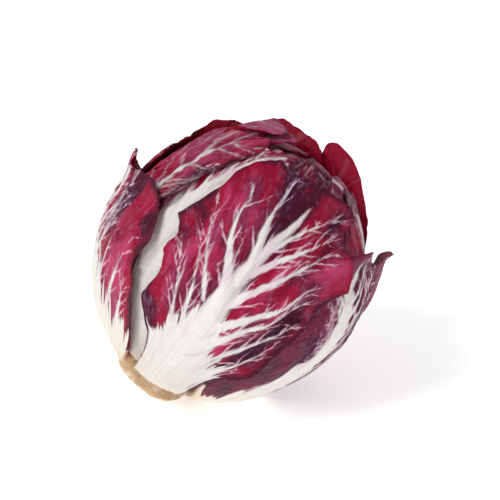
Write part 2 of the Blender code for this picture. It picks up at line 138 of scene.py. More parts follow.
def wrapOnHead(x, y, height, azimuth, lowest):
    # centre + (outside radius + height) * direction: the lowest leaf ends at the floor, others sink in
    facing = leafDirections(x, y, azimuth)
    outside = headRadius(-(facing @ axis))
    if lowest:
        radius = np.minimum(outside + height, floorReach(facing))
    else:
        radius = outside + height - pressedDepth(outside, facing)
    return centre + radius[..., None] * facing


def smoothLine(points, count, between=12):
    # A Catmull-Rom line through the points, resampled at equal steps of its length
    points = np.array(points, float)
    ends = np.vstack([2 * points[0] - points[1], points, 2 * points[-1] - points[-2]])
    step = np.linspace(0.0, 1.0, between, endpoint=False)[None, :, None]
    a, b, c, d = ends[:-3, None], ends[1:-2, None], ends[2:-1, None], ends[3:, None]
    dense = 0.5 * (2 * b + (c - a) * step + (2 * a - 5 * b + 4 * c - d) * step**2
                   + (3 * b - a - 3 * c + d) * step**3)
    dense = np.vstack([dense.reshape(-1, points.shape[1]), points[-1:]])
    travelled = lengthAlong(dense)
    wanted = np.linspace(0.0, travelled[-1], count)
    return np.stack([np.interp(wanted, travelled, dense[:, i]) for i in range(dense.shape[1])], axis=1)


def lengthAlong(line):
    # The length travelled from the line's start to each of its points
    return np.concatenate([[0.0], np.cumsum(np.linalg.norm(np.diff(line, axis=0), axis=1))])


lattice = (67, 71)  # softNoise repeats after this many cells across and along


def softNoise(x, y, seed):
    # Random values on a unit lattice, blended smoothly between its corners: about -1 to 1
    table = np.random.default_rng(seed).uniform(-1.0, 1.0, lattice)
    column, row = np.floor(x).astype(int), np.floor(y).astype(int)
    fx, fy = smoothStep(x - column, 0.0, 1.0), smoothStep(y - row, 0.0, 1.0)

    def corner(i, j):
        return table[(column + i) % lattice[0], (row + j) % lattice[1]]

    lower = corner(0, 0) * (1 - fx) + corner(1, 0) * fx
    upper = corner(0, 1) * (1 - fx) + corner(1, 1) * fx
    return lower * (1 - fy) + upper * fy


def layeredNoise(x, y, seed, layers):
    # The sum of share * softNoise, each layer at its own wave length, place and seed
    return sum(share * softNoise(x / across + placeX, y / along + placeY, seed + more)
               for share, across, along, placeX, placeY, more in layers)


def plainOutline(halfWidth, length, lean=0.0):
    # A broad rounded leaf: shares of its half width and length for a side and for the tip
    side = ((0.50, 0.24), (0.82, 0.42), (1.0, 0.63), (0.93, 0.82))
    tip = ((0.93, 0.82), (0.66, 0.94), (0.24, 1.0), (-0.22, 0.985), (-0.70, 0.93), (-0.96, 0.80))
    left = [(-x * halfWidth + lean * y, y * length) for x, y in side]
    right = [(x * halfWidth + lean * y, y * length) for x, y in side]
    end = [(-x * halfWidth + lean * y, y * length) for x, y in tip]
    left[-1], right[-1] = end[0], end[-1]
    return left, end, right


def wedgeOutline(halfTurn, length, tipWidth):
    # The sides follow two meridians, x = R asin(sin(y / R) sin(halfTurn)), up to a rounded tip
    radius = head["wrapRadius"]
    stations = [length * share for share in (0.24, 0.40, 0.56, 0.72, 0.86)]
    side = [(radius * math.asin(math.sin(y / radius) * math.sin(math.radians(halfTurn))), y)
            for y in stations]
    tip = [(tipWidth, length * 0.95), (tipWidth * 0.45, length), (-tipWidth * 0.5, length * 0.99),
           (-tipWidth, length * 0.94)]
    left = [(-x, y) for x, y in side]
    return left, [left[-1], *[(-x, y) for x, y in tip], side[-1]], side


def calmLine(line, share):
    # The chord between the ends plus the rest, averaged over a share of the line with odd mirrored ends
    chord = line[0] + (line[-1] - line[0]) * np.linspace(0.0, 1.0, len(line))[:, None]
    rest = line - chord
    reach = max(int(len(line) * share), 1)
    kernel = np.hanning(2 * reach + 3)[1:-1]
    kernel /= kernel.sum()
    padded = np.concatenate([-rest[reach:0:-1], rest, -rest[-2:-reach - 2:-1]])
    calm = np.stack([np.convolve(padded[:, i], kernel, "valid") for i in (0, 1)], axis=1)
    return chord + calm


# Teeth of the margins: each layer's height, how many run along the margin and where it is read, the
# shares of the margin over which they start and end, their way out, and where each margin is read
sideTeeth = {"layers": ((0.8, 14.0, 0.0), (0.35, 49.0, 6.0)), "starts": (0.12, 0.4), "ends": (1.0, 0.94),
             "toward": (1.0, 0.0), "places": (3.5, 21.5)}
tipTeeth = {"layers": ((0.8, 13.0, 0.0), (0.4, 46.0, 5.0)), "starts": (0.0, 0.05), "ends": (1.0, 0.95),
            "toward": (0.0, 1.0), "places": (40.5,)}


def marginLine(points, count, leaf, teeth, which=0):
    # A calm copy of the margin's line, and what its lobes and teeth add to that
    line = smoothLine(points, count)
    calm = calmLine(line, leaf["calm"])
    share = np.linspace(0.0, 1.0, count)
    place = teeth["places"][which]
    height = sum(most * softNoise(share * number, np.full(count, place + more), leaf["seed"])
                 for most, number, more in teeth["layers"])
    height = height * leaf["lobes"] * smoothStep(share, *teeth["starts"])
    height = height * smoothStep(share, *teeth["ends"])
    return calm, line - calm + height[:, None] * teeth["toward"]


def leafSheet(leaf, columns, rows):
    # A Coons patch between calm copies of the two sides and the tip: both sides blended plus both
    # ends blended, less the blend of the corners. The outline's lobes and teeth fade out inwards.
    left, tip, right = leaf["outline"]
    angles = np.radians(np.linspace(-leaf["foot"], leaf["foot"], columns + 1))
    foot = head["leafBase"] * np.stack([np.sin(angles), np.cos(angles)], axis=1)
    v = np.linspace(0.0, 1.0, rows + 1) ** leaf["rowBias"]
    u = np.linspace(0.0, 1.0, columns + 1)
    fine = np.linspace(0.0, 1.0, 4 * rows + 1)
    lines = (*marginLine([tuple(foot[0]), *left], len(fine), leaf, sideTeeth),
             *marginLine([tuple(foot[-1]), *right], len(fine), leaf, sideTeeth, 1))
    calmLeft, cutLeft, calmRight, cutRight = (
        np.stack([np.interp(v, fine, line[:, i]) for i in (0, 1)], axis=1)[:, None] for line in lines)
    calmTip, cutTip = marginLine(tip, columns + 1, leaf, tipTeeth)
    u, v = u[None, :, None], v[:, None, None]
    sides = (1 - u) * calmLeft + u * calmRight
    ends = (1 - v) * foot[None] + v * calmTip[None]
    corners = (1 - v) * ((1 - u) * foot[0] + u * foot[-1]) + v * ((1 - u) * calmTip[0] + u * calmTip[-1])
    sheet = sides + ends - corners
    cuts = (1 - u) ** leaf["fade"] * cutLeft + u ** leaf["fade"] * cutRight
    return sheet + cuts + v ** leaf["tipFade"] * cutTip[None]


def marginDistance(sheet):
    # Distance from the nearest of the two sides and the tip, taken along the grid's lines
    fromLeft = np.linalg.norm(sheet - sheet[:, :1], axis=2)
    fromRight = np.linalg.norm(sheet - sheet[:, -1:], axis=2)
    fromTip = np.linalg.norm(sheet - sheet[-1:], axis=2)
    return np.minimum(np.minimum(fromLeft, fromRight), fromTip)


ribShape = {
    "narrows": 0.72,  # shares that the midrib's width and height lose from the foot to the tip
    "lowers": 0.75,
    "startShare": 0.35,  # its height at the foot, and the length over which it gains the rest
    "startRun": 9.0,
}


def midribHeight(x, y, leaf):
    # height * exp(-(beside / spread)^2), where height and spread shrink from the foot to the tip
    course = np.array(leaf["midrib"], float)
    height, width = leaf["rib"]
    along = np.clip((y - head["leafBase"]) / (course[-1, 1] - head["leafBase"]), 0.0, 1.0)
    beside = x - np.interp(y, course[:, 1], course[:, 0])
    spread = width * (1.0 - ribShape["narrows"] * along)
    start = np.clip((y - head["leafBase"]) / ribShape["startRun"] + ribShape["startShare"], 0.0, 1.0)
    rise = height * start * (1.0 - ribShape["lowers"] * along)
    return rise * np.exp(-((beside / spread) ** 2))


foldEnd = 1.35  # a fold is whole up to this less 1 of its half length, and ends at this
leastTurn = 1e-6


def foldLeaf(x, y, leaf):
    # Beyond each fold's line the leaf turns up round an arc, then goes on straight
    shift = np.zeros((*x.shape, 2))
    rise = np.zeros(x.shape)
    for (foldX, foldY), direction, radius, most, halfLength in leaf["folds"]:
        toward = np.array([math.cos(math.radians(direction)), math.sin(math.radians(direction))])
        past = (x - foldX) * toward[0] + (y - foldY) * toward[1]
        beside = (y - foldY) * toward[0] - (x - foldX) * toward[1]
        share = smoothStep(foldEnd - np.abs(beside) / halfLength, 0.0, 1.0)
        past = np.maximum(past, 0.0)
        angle = np.maximum(np.minimum(past / radius, math.radians(most)) * share, leastTurn)
        straight = past - np.minimum(past, radius * math.radians(most))
        arc = past - straight
        reach = arc * np.sin(angle) / angle + straight * np.cos(angle)
        rise += arc * (1 - np.cos(angle)) / angle + straight * np.sin(angle)
        shift += (reach - past)[..., None] * toward
    return shift, rise


# Veins: lines that branch from the midrib, each with a half width at its start and its end

sideVein = {
    "givenPoints": 14,  # points of a given vein, the midrib and a side vein
    "coursePoints": 40,
    "points": 12,
    "shift": 2.5,  # how far a side vein's start is from its even place
    "turn": 6.0,
    "length": (0.8, 1.15),  # shares of the leaf's values
    "wide": (0.7, 1.2),
    "end": -0.2,  # half width of its end: below nothing, so it fades out
    "sway": 0.5,
    "swayLayer": ((9.0, 20.0), (7.0, 5.0)),
    "taper": 1.15,
}

branches = {
    "seed": 500,
    "swaySeed": 9,
    "points": 9,
    "linkPoints": 5,
    "ahead": 0.5,  # the vein's own way is read over this length
    "from": 0.08,  # shares of the vein's length between which branches start
    "to": 0.95,
    "every": (3.0, 8.0),
    "alternate": 0.8,  # how often the next branch is on the other side
    "angle": (13.0, 34.0),  # how far a branch turns away from its vein
    "bend": (0.3, 0.9),  # and how much of that it turns back
    "length": (8.0, 24.0),
    "shorter": 0.35,  # share that the last ones lose
    "thick": 0.3,  # half widths of a branch's start and end
    "thin": -0.12,
    "veinShare": 0.28,  # share of its vein's half width that the first ones add
    "veinSpread": (0.5, 1.2),
    "sway": 0.35,
    "swayLayer": ((4.0, 30.0), (3.0, 9.0)),
    "links": (0.3, 0.55, 0.8),  # where short links start on a branch, none to all of them
    "link": (2.5, 7.0),
    "linkAngle": (24.0, 60.0),
    "linkBend": 0.5,
    "linkShare": 0.8,
}


def grownLine(start, heading, bend, length, points):
    # Steps of equal length whose heading turns evenly by bend from the first to the last
    turn = heading + bend * np.linspace(0.0, 1.0, points - 1)
    step = length / (points - 1) * np.stack([np.sin(turn), np.cos(turn)], axis=1)
    return np.vstack([[start], start + np.cumsum(step, axis=0)])


def sway(line, plan, seed):
    # Each point is shifted by soft noise that is read at the point itself
    (sizeX, placeX), (sizeY, placeY) = plan["swayLayer"]
    return line + plan["sway"] * softNoise(line / sizeX + placeX, line[:, ::-1] / sizeY + placeY, seed)


def pairedVeins(leaf, rng):
    # Side veins that start on the midrib at even places, left and right by turns
    plan, course = leaf["sideVeins"], smoothLine(leaf["whiteCourse"], sideVein["coursePoints"])
    veins = []
    for y in np.arange(plan["from"], plan["to"], plan["every"]):
        for side in (-1, 1):
            place = y + rng.uniform(-sideVein["shift"], sideVein["shift"]) + (side > 0) * plan["every"] / 2
            start = np.array([np.interp(place, course[:, 1], course[:, 0]), place])
            spread = math.radians(plan["angle"] + rng.uniform(-sideVein["turn"], sideVein["turn"]))
            length = plan["length"] * rng.uniform(*sideVein["length"])
            bend = -side * spread * plan["bend"]
            line = grownLine(start, side * spread, bend, length, sideVein["points"])
            line = sway(line, sideVein, int(y) + leaf["seed"])
            veins.append((line, plan["wide"] * rng.uniform(*sideVein["wide"]), sideVein["end"]))
    return veins


def branchVeins(line, wide, leaf, rng):
    # Twigs that leave the vein at random steps, mostly by turns, and short links that leave the twigs
    grown = []
    travelled = lengthAlong(line)
    whole = travelled[-1]
    side = 1 if rng.uniform() < 0.5 else -1
    at = whole * branches["from"]
    while at < whole * branches["to"]:
        side = -side if rng.uniform() < branches["alternate"] else side
        start, ahead = (np.array([np.interp(place, travelled, line[:, i]) for i in (0, 1)])
                        for place in (at, at + branches["ahead"]))
        spread = math.radians(rng.uniform(*branches["angle"])) * side
        length = rng.uniform(*branches["length"]) * (1 - branches["shorter"] * at / whole)
        heading = math.atan2(*(ahead - start)) + spread
        bend = -spread * rng.uniform(*branches["bend"])
        twig = grownLine(start, heading, bend, length, branches["points"])
        twig = sway(twig, branches, leaf["seed"] + branches["swaySeed"])
        extra = branches["veinShare"] * wide * (1 - at / whole) * rng.uniform(*branches["veinSpread"])
        grown.append((twig, branches["thick"] + extra, branches["thin"]))
        for share in branches["links"][:int(rng.integers(0, len(branches["links"]) + 1))]:
            turned = math.radians(rng.uniform(*branches["linkAngle"])) * (1 if rng.uniform() < 0.5 else -1)
            index = int(share * (branches["points"] - 1))
            where, beyond = twig[index], twig[index + 1]
            heading = math.atan2(*(beyond - where)) + turned
            length = rng.uniform(*branches["link"])
            bend = -turned * branches["linkBend"]
            link = grownLine(where, heading, bend, length, branches["linkPoints"])
            grown.append((link, branches["thick"] * branches["linkShare"], branches["thin"]))
        at += rng.uniform(*branches["every"])
    return grown


def growVeins(leaf):
    # The given veins and the side veins in pairs, then the branches off each of them in turn
    rng = np.random.default_rng(leaf["seed"] + branches["seed"])
    veins = [(smoothLine(points, sideVein["givenPoints"]), wide, sideVein["end"])
             for points, wide in leaf["veins"]]
    if leaf["sideVeins"]:
        veins += pairedVeins(leaf, rng)
    return veins, [grown for line, wide, _ in veins for grown in branchVeins(line, wide, leaf, rng)]


veinReach = 8.0  # a vein's field is worked out this far round it
farAway = -30.0  # and has this value further off


def veinField(x, y, veins):
    # The largest of (half width - distance) over the veins' segments, in millimetres
    field = np.full(x.shape, farAway)
    place = np.stack([x, y], axis=-1)[..., None, :]
    for line, wide, thin in veins:
        nearX = (x > line[:, 0].min() - veinReach) & (x < line[:, 0].max() + veinReach)
        near = nearX & (y > line[:, 1].min() - veinReach) & (y < line[:, 1].max() + veinReach)
        if not near.any():
            continue
        points = place[near]
        start, run = line[:-1], np.diff(line, axis=0)
        share = np.clip(((points - start) * run).sum(-1) / (run * run).sum(-1), 0.0, 1.0)
        distance = np.linalg.norm(points - start - share[..., None] * run, axis=-1)
        along = (np.arange(len(run)) + share) / len(run)
        half = thin + (wide - thin) * (1 - along) ** sideVein["taper"]
        field[near] = np.maximum(field[near], (half - distance).max(axis=-1))
    return field


# Meshes

def gridFaces(rows, columns, first, outward=True):
    # Quads of a grid of (rows + 1) x (columns + 1) points, numbered row by row from first
    corner = first + np.arange(rows)[:, None] * (columns + 1) + np.arange(columns)[None]
    quads = np.stack([corner, corner + 1, corner + columns + 2, corner + columns + 1], axis=-1)
    quads = quads.reshape(-1, 4)
    return quads if outward else quads[:, ::-1]


def rimFaces(rows, columns, outer, inner):
    # Quads between the border of the outer grid and the same border of the inner grid
    bottom = np.arange(columns)
    right = np.arange(rows) * (columns + 1) + columns
    top = rows * (columns + 1) + np.arange(columns, 0, -1)
    left = np.arange(rows, 0, -1) * (columns + 1)
    loop = np.concatenate([bottom, right, top, left])
    after = np.roll(loop, -1)
    return np.stack([outer + after, outer + loop, inner + loop, inner + after], axis=-1)


def ringFaces(rows, columns):
    # Quads between closed rings of points, numbered ring by ring from 0
    ring = np.arange(columns)
    after = (ring + 1) % columns
    start = np.arange(rows - 1)[:, None] * columns
    above = start + columns
    return np.stack([start + ring, start + after, above + after, above + ring], axis=-1).reshape(-1, 4)


def capFaces(columns, first, pole, outward=True):
    # Triangles between the ring of points that starts at first and one pole
    ring = first + np.arange(columns)
    after = np.roll(ring, -1)
    ends = (ring, after) if outward else (after, ring)
    return np.stack([*ends, ring * 0 + pole, ring * 0 + pole], axis=-1)


def surfaceNormal(points):
    # The cross product of the grid's two directions, made one long
    across = np.gradient(points, axis=1)
    along = np.gradient(points, axis=0)
    normal = np.cross(across, along)
    return normal / np.maximum(np.linalg.norm(normal, axis=-1, keepdims=True), 1e-9)


def addPiece(name, node, points, faces, fields, material, slot):
    # faces is an array of quads and triangles as rows of four, a triangle repeating its last corner
    mesh = bpy.data.meshes.new(name)
    mesh.vertices.add(len(points))
    mesh.vertices.foreach_set("co", (points * mm).ravel())
    sizes = np.where(faces[:, 2] == faces[:, 3], 3, 4)
    loops = faces[np.arange(4)[None] < sizes[:, None]]
    mesh.loops.add(len(loops))
    mesh.loops.foreach_set("vertex_index", loops.astype(np.int32))
    mesh.polygons.add(len(faces))
    mesh.polygons.foreach_set("loop_start", (np.cumsum(sizes) - sizes).astype(np.int32))
    mesh.update(calc_edges=True)
    mesh.validate()
    for field, values in fields.items():
        kind, item = ("FLOAT_VECTOR", "vector") if values.ndim == 2 else ("FLOAT", "value")
        attribute = mesh.attributes.new(field, kind, "POINT")
        attribute.data.foreach_set(item, values.astype(np.float32).ravel())
    mesh.shade_smooth()
    mesh.materials.append(material)
    piece = bpy.data.objects.new(name, mesh)
    bpy.context.scene.collection.objects.link(piece)
    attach(piece, "root")
    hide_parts(node)


# Shader maths

class Shade:
    # Wraps a socket, so that shader maths is written as Python expressions
    def __init__(self, tree, socket=None):
        self.tree = tree
        self.socket = socket

    def node(self, kind, settings=None, inputs=None, output=0):
        made = self.tree.nodes.new(kind)
        for name, value in (settings or {}).items():
            setattr(made, name, value)
        for name, value in (inputs or {}).items():
            if isinstance(value, Shade):
                self.tree.links.new(value.socket, made.inputs[name])
            else:
                made.inputs[name].default_value = value
        return Shade(self.tree, made.outputs[output])

    def maths(self, operation, first, second):
        return self.node("ShaderNodeMath", {"operation": operation}, {0: first, 1: second})

    def __add__(self, other):
        return self.maths("ADD", self, other)

    __radd__ = __add__

    def __sub__(self, other):
        return self.maths("SUBTRACT", self, other)

    def __rsub__(self, other):
        return self.maths("SUBTRACT", other, self)

    def __mul__(self, other):
        return self.maths("MULTIPLY", self, other)

    __rmul__ = __mul__

    def step(self, start, end):
        # 0 before start and 1 after end, smooth between, also with start above end
        flip = start > end
        ends = {"From Min": min(start, end), "From Max": max(start, end), "To Min": 1.0 if flip else 0.0,
                "To Max": 0.0 if flip else 1.0, "Value": self}
        return self.node("ShaderNodeMapRange", {"interpolation_type": "SMOOTHSTEP"}, ends)

    def mask(self, name):
        return self.step(*masks[name])

    def mix(self, first, second):
        # first where this mask is 0, second where it is 1: colours
        return self.node("ShaderNodeMix", {"data_type": "RGBA"}, {0: self, 6: first, 7: second}, 2)

    def scaled(self, scale):
        return self.node("ShaderNodeVectorMath", {"operation": "MULTIPLY"}, {0: self, 1: scale})

    def noise(self, scale, detail, rough, twist=0.0):
        inputs = {"Vector": self.scaled(scale), "Scale": 1.0, "Detail": detail, "Roughness": rough,
                  "Distortion": twist}
        return self.node("ShaderNodeTexNoise", None, inputs)

    def number(self, name):
        return self.node("ShaderNodeAttribute", {"attribute_name": name}, output=2)

    def place(self, name):
        return self.node("ShaderNodeAttribute", {"attribute_name": name}, output=1)


def tint(red, green, blue):
    # From screen values of 0 to 255 to linear light
    def linear(value):
        share = value / 255.0
        return share / 12.92 if share <= 0.04045 else ((share + 0.055) / 1.055) ** 2.4

    return (linear(red), linear(green), linear(blue), 1.0)


def newMaterial(name, specular):
    material = bpy.data.materials.new(name)
    material.use_nodes = True
    shader = material.node_tree.nodes["Principled BSDF"]
    shader.inputs["Specular IOR Level"].default_value = specular
    return material, shader, Shade(material.node_tree)


def linkFinish(s, shader, colour, roughness, strength, distance, height):
    # Links what varies over the surface: its colour, its roughness and its relief
    bump = s.node("ShaderNodeBump", None, {"Strength": strength, "Distance": distance, "Height": height})
    for name, value in (("Base Color", colour), ("Roughness", roughness), ("Normal", bump)):
        s.tree.links.new(value.socket, shader.inputs[name])


leafLook = {
    "crimson": tint(156, 0, 50),
    # dusty: partly the blade's own dusty bloom, partly painted highlight where the relief swells; dark:
    # painted shade where it dips
    "dustyAndHighlight": tint(190, 54, 100),
    "dark": tint(74, 2, 36),
    # painted shade in the dips beside the veins
    "shade": tint(58, 18, 50),
    "bloom": tint(156, 122, 160),
    # fine streaks of painted highlight: glints on the waxy blade
    "paintedGlint": tint(214, 140, 172),
    "rib": tint(238, 234, 230),
    "ribShade": tint(218, 204, 198),
    "lilac": tint(214, 172, 200),
    "root": tint(222, 198, 164),
    "cream": tint(240, 222, 190),
    "speck": tint(176, 124, 82),
    "net": tint(232, 190, 208),
    "inner": tint(140, 4, 36),
    "rays": 20.0,  # how far thin white lines run out of the white base, in millimetres
    "rag": 3.0,  # how frayed the edges of the veins, the net and the root are
    "netRag": 1.2,
    "rootRag": 9.0,
    "mottling": 3.0,
    "lineShare": 0.4,  # how strong each part of the pattern is
    "lilacShare": 0.4,
    "creamShare": 0.4,
    "speckShare": 0.6,
    "veinShare": 1.0,
    "netShare": 0.85,
    "dustyAndHighlightShare": 0.0,
    "bloomShare": 0.36,
    "paintedGlintShare": 0.1,
    "shadeShare": 0.6,
    "innerWhite": 0.04,  # how much of the veins and of the painted glints shows on the inner face
    "innerPaintedGlint": 0.5,
}

# Noise in waves per millimetre across, along and between leaves, with its detail and roughness. What
# is drawn out along the fan of veins is read at fanPlace, and what isn't at leafPlace.
fanNoise = {
    "streak": ((0.62, 0.075, 1.0), 4.0, 0.6),
    "rays": ((0.6, 0.014, 21.0), 3.0, 0.6),
    "lines": ((0.5, 0.012, 1.0), 2.0, 0.5),
    "lilac": ((0.35, 0.03, 3.0), 3.0, 0.55),
    "mottle": ((0.16, 0.05, 5.0), 4.0, 0.65),
    # fine streaks of painted glint
    "paintedGlint": ((2.6, 0.42, 7.0), 3.0, 0.7),
    "bloom": ((0.8, 0.16, 9.0), 5.0, 0.75),
    "grain": ((2.2, 0.35, 13.0), 3.0, 0.6),
}
flatNoise = {
    "patches": ((0.055, 0.04, 17.0), 3.0, 0.6),
    "speck": ((0.75, 0.6, 19.0), 2.0, 0.6),
    "grain": ((0.8, 0.8, 15.0), 2.0, 0.55),
    "blister": ((0.34, 0.22, 23.0), 3.0, 0.55, 0.6),
}

# Where each mask starts and ends: in millimetres for the fields, else in the noise's own values
masks = {
    "base": (-0.9, 0.7),
    "side": (-0.55, 0.45),
    "net": (-0.3, 0.22),
    "lines": (0.46, 0.72),
    "nearRed": (5.0, 0.0),
    "lilac": (0.44, 0.62),
    # painted highlight on the swellings, partly also dusty bloom, then painted shade in the dips
    "dustyAndHighlight": (0.1, 1.2),
    "dark": (-0.15, -1.1),
    "patches": (0.42, 0.6),
    # painted shade in the dips beside the veins
    "beside": (-6.5, -1.0),
    # fine streaks of painted glint
    "paintedGlint": (0.5, 0.72),
    "bloom": (0.48, 0.66),
    "cream": (46.0, 4.0),
    "root": (13.0, 1.0),
    "speck": (0.66, 0.72),
    "specksFrom": (44.0, 8.0),
}

leafRelief = {
    "specular": 0.14,
    "fanGrain": 0.5,
    "flatGrain": 0.3,
    "blister": 1.5,
    "blisterShift": 1.15,  # white parts keep this less 1 of the blisters
    "strength": 0.8,
    "distance": 0.0011,  # metres
    "roughness": 0.4,
    "whiteRougher": 0.06,
    "mottleRougher": 0.14,
}


def leafMaterial(name, look):
    look = {**leafLook, **look}
    material, shader, s = newMaterial(name, leafRelief["specular"])
    fan = {key: s.place("fanPlace").noise(*values) for key, values in fanNoise.items()}
    flat = {key: s.place("leafPlace").noise(*values) for key, values in flatNoise.items()}
    streak = fan["streak"] - 0.5
    frayed = streak * look["rag"]
    base = s.number("baseField") + (fan["rays"] - 0.5) * look["rays"] * s.number("rayField") + frayed
    side = s.number("sideField") + frayed
    # White: cream lines along the fan, lilac where a red patch is about to start
    veinWhite = side.mask("side") * look["veinShare"]
    white = s.maths("MAXIMUM", base.mask("base"), veinWhite)
    pale = (fan["lines"].mask("lines") * look["lineShare"]).mix(look["rib"], look["ribShade"])
    nearRed = base.mask("nearRed") * fan["lilac"].mask("lilac")
    pale = (nearRed * look["lilacShare"]).mix(pale, look["lilac"])
    # Red: dusty bloom plus painted highlight on swells, painted shade in dips and beside veins, bloom,
    # painted glints
    swell = s.number("paintedLightAndToneField") + (fan["mottle"] - 0.5) * look["mottling"] + look["dustyAndHighlightShare"]
    red = swell.mask("dustyAndHighlight").mix(look["crimson"], look["dustyAndHighlight"])
    red = swell.mask("dark").mix(red, look["dark"])
    patches = flat["patches"].mask("patches")
    # Painted shade in the dips beside the veins, in patches
    beside = side.mask("beside") * patches
    red = (beside * look["shadeShare"]).mix(red, look["shade"])
    # Fine streaks of painted glint, also on the inner face
    paintedGlint = fan["paintedGlint"].mask("paintedGlint")
    red = (paintedGlint * look["paintedGlintShare"]).mix(red, look["paintedGlint"])
    bloom = fan["bloom"].mask("bloom") * patches
    red = (bloom * look["bloomShare"]).mix(red, look["bloom"])
    net = (s.number("netField") + streak * look["netRag"]).mask("net")
    red = (net * look["netShare"]).mix(red, look["net"])
    # Root: cream, then tan towards the butt, with small brown specks
    root = s.number("rootField") + streak * look["rootRag"]
    pale = (root.mask("cream") * look["creamShare"]).mix(pale, look["cream"])
    pale = root.mask("root").mix(pale, look["root"])
    speck = flat["speck"].mask("speck") * root.mask("specksFrom")
    pale = (speck * look["speckShare"]).mix(pale, look["speck"])
    innerRed = (paintedGlint * look["innerPaintedGlint"]).mix(look["inner"], look["crimson"])
    innerSide = (white * look["innerWhite"]).mix(innerRed, pale)
    colour = s.number("insideFace").mix(white.mix(red, pale), innerSide)
    rough = (leafRelief["roughness"] + white * leafRelief["whiteRougher"]
             + fan["mottle"] * leafRelief["mottleRougher"])
    grain = fan["grain"] * leafRelief["fanGrain"] + flat["grain"] * leafRelief["flatGrain"]
    blister = flat["blister"] * (leafRelief["blisterShift"] - white) * leafRelief["blister"]
    linkFinish(s, shader, colour, rough, leafRelief["strength"], leafRelief["distance"], grain + blister)
    return material


# Leaves

pairs = {"from": 34.0, "to": 118.0, "every": 11.0, "angle": 34.0, "bend": 0.45, "length": 46.0, "wide": 1.5}

# What a leaf has where its own plan says nothing else
leafDefaults = {
    "depth": 0.0,  # how deep it lies under the head's outside
    "slot": "outer_leaf",
    "rowBias": 1.0,  # below 1 the grid's rows are closer together at the tip
    "calm": 0.16,  # share of a margin over which its calm copy is averaged
    "fade": 6.0,  # powers by which lobes and teeth fade out inwards
    "tipFade": 9.6,
    "lobes": 1.0,  # size of the margin's teeth
    "folds": (),  # place, direction, radius, most degrees and half length of each
    "veins": (),  # points and half width of each
    "sideVeins": pairs,
    "flames": 9.0,  # how far the white base's border runs to and fro
    "lift": 0.0,  # how far the margins stand off
    "waves": (0.0, 1.0),  # height and number of their waves
    "rising": (0.0, 0.0, 1.0),  # how far the leaf rises, and between which y
    "footRise": 0.0,
    "paintedShadeSide": (90.0, 99.0),  # x from which painted shade darkens the red along the rolled margin
    "toneShift": 0.0,  # above 0 is dustier, below 0 darker
    "look": {},
}


def innerLeaf(azimuth, seed, length, tipWidth, look):
    # A leaf between two meridians whose tip closes towards the crown, pinker than the outer ones
    return {
        "azimuth": azimuth, "depth": 6.3, "foot": 38.0, "seed": seed, "grid": (80, 100),
        "slot": "inner_leaf",
        "outline": wedgeOutline(56.0, length, tipWidth), "midrib": [(0, 15), (0, 80), (0, length)],
        "rib": (0.4, 10.0), "swell": 0.5, "rowBias": 0.55,
        "white": [(14, 60), (60, 20), (100, 6), (140, 3), (length, 1)],
        "sideVeins": {**pairs, "from": 60.0, "to": 170.0, "angle": 20.0, "wide": 0.7},
        "look": {"bloom": tint(190, 112, 150), "lilac": tint(214, 150, 180), "bloomShare": 0.5,
                 "veinShare": 0.5, "netShare": 0.3, **look},
    }


